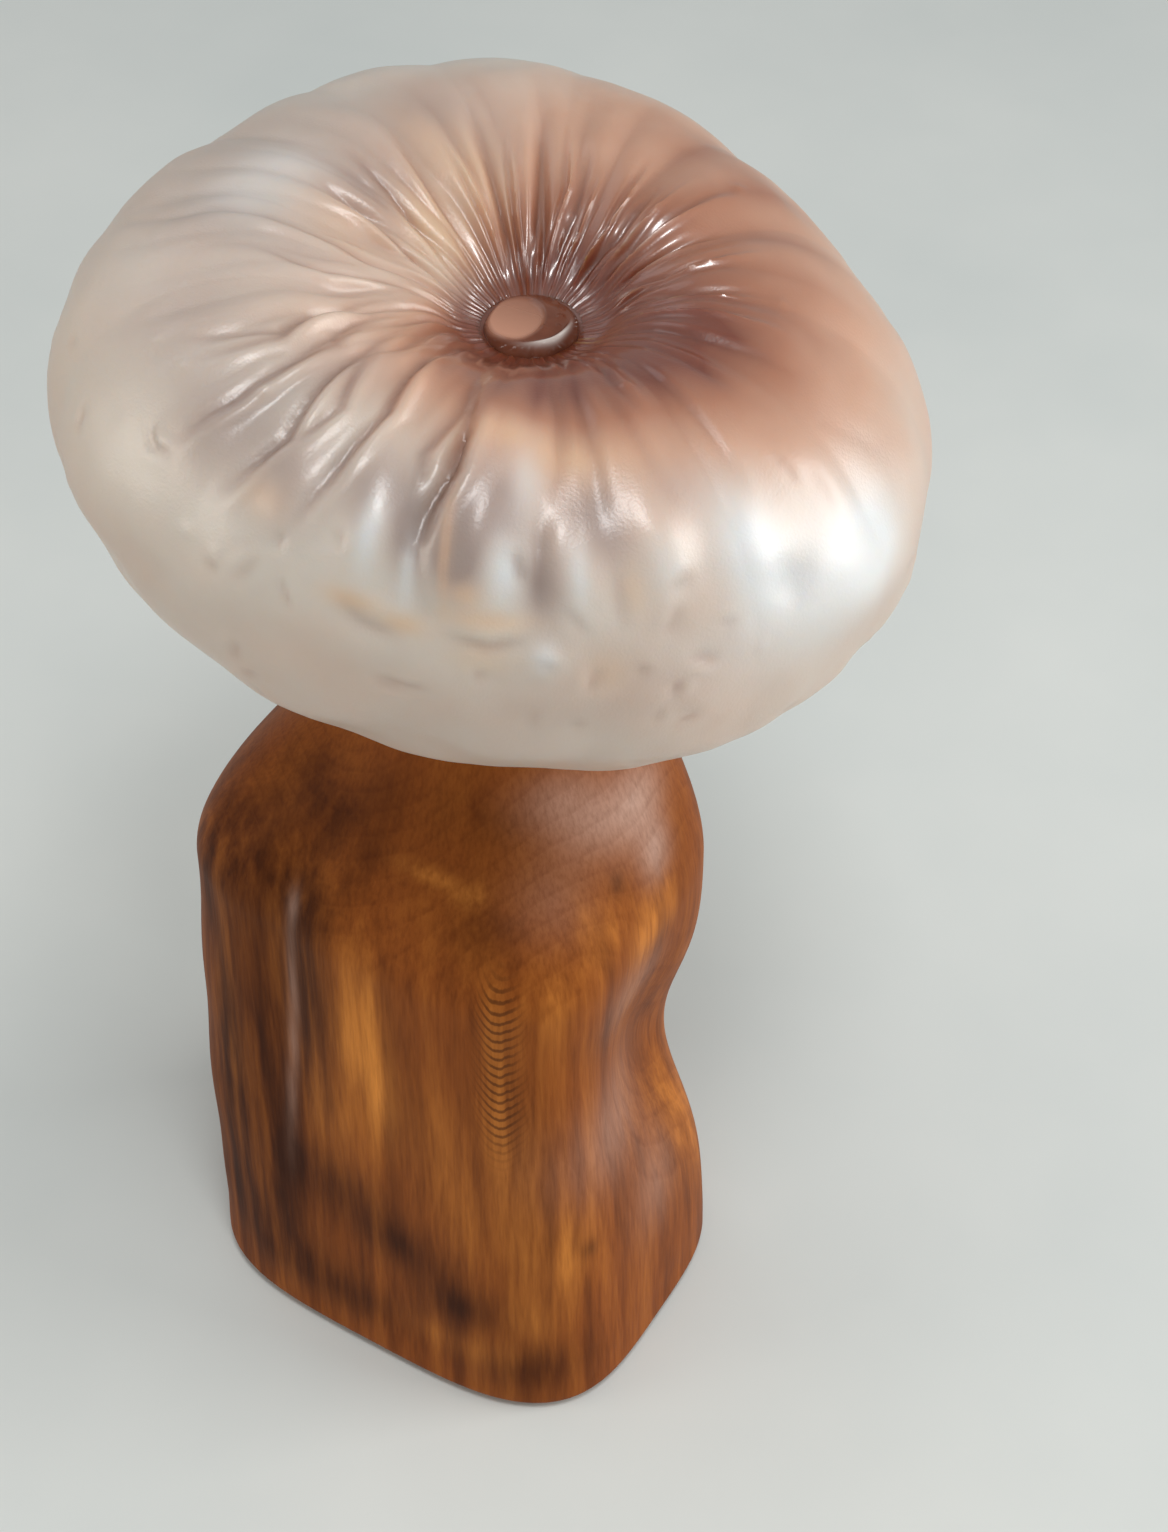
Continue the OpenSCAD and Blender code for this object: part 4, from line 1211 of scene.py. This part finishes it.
studio = {
    # In metres, degrees and watts
    "floorRadius": 6.0,
    "fill": 0.465,
    "aim": (0, 0, 0.25),
    "lamps": [
        # direction, elevation, distance, width, height, power, colour
        (25, 18, 1.7, 1.0, 1.0, 16.6, "#FFFDFA"),
        (315, 68, 1.6, 0.35, 0.35, 9.5, "#FFFFFF"),
        (171, 44, 1.8, 1.0, 0.9, 1.8, "#F8FAFF"),
        (225, 14, 1.8, 0.8, 0.8, 6.0, "#FFF6EA"),
    ],
}


def buildFloor():
    deselectAll()
    bpy.ops.mesh.primitive_circle_add(vertices=96, radius=studio["floorRadius"], fill_type="NGON")
    floor = bpy.context.object
    floor.name = "floor"
    material, tree, place = startMaterial("painted concrete, floated")
    cloud = addNode(tree, "ShaderNodeTexNoise", {
        "Vector": place, "Scale": 1 / (250 * mm), "Detail": 4.0, "Roughness": 0.55})
    colour = addNode(tree, "ShaderNodeValToRGB", {"Fac": cloud}, stops=[
        (0.3, "#D6DCDA"), (0.7, "#E2E6E3")])
    shader = addNode(tree, "ShaderNodeBsdfPrincipled", {"Base Color": colour, "Roughness": 0.6})
    addNode(tree, "ShaderNodeOutputMaterial", {"Surface": shader})
    giveMaterial(floor, material)


def buildLamps():
    aim = Vector(studio["aim"])
    for direction, elevation, distance, width, height, power, colour in studio["lamps"]:
        turned, raised = math.radians(direction), math.radians(elevation)
        level = distance * math.cos(raised)
        up = distance * math.sin(raised)
        place = aim + Vector((level * math.cos(turned), level * math.sin(turned), up))
        lamp = bpy.data.lights.new("softLamp", "AREA")
        lamp.shape = "RECTANGLE"
        lamp.size, lamp.size_y = width, height
        lamp.energy = power
        lamp.color = linearColor(colour)[:3]
        obj = bpy.data.objects.new("softLamp", lamp)
        obj.location = place
        obj.rotation_euler = (aim - place).to_track_quat("-Z", "Y").to_euler()
        bpy.context.scene.collection.objects.link(obj)


def buildWorld():
    world = bpy.data.worlds.new("neutralFill")
    world.use_nodes = True
    background = world.node_tree.nodes["Background"]
    background.inputs["Color"].default_value = linearColor("#E4E6E6")
    background.inputs["Strength"].default_value = studio["fill"]
    bpy.context.scene.world = world


buildFloor()
buildLamps()
buildWorld()
bpy.context.scene.view_settings.view_transform = "Standard"
print("floor and lights placed")
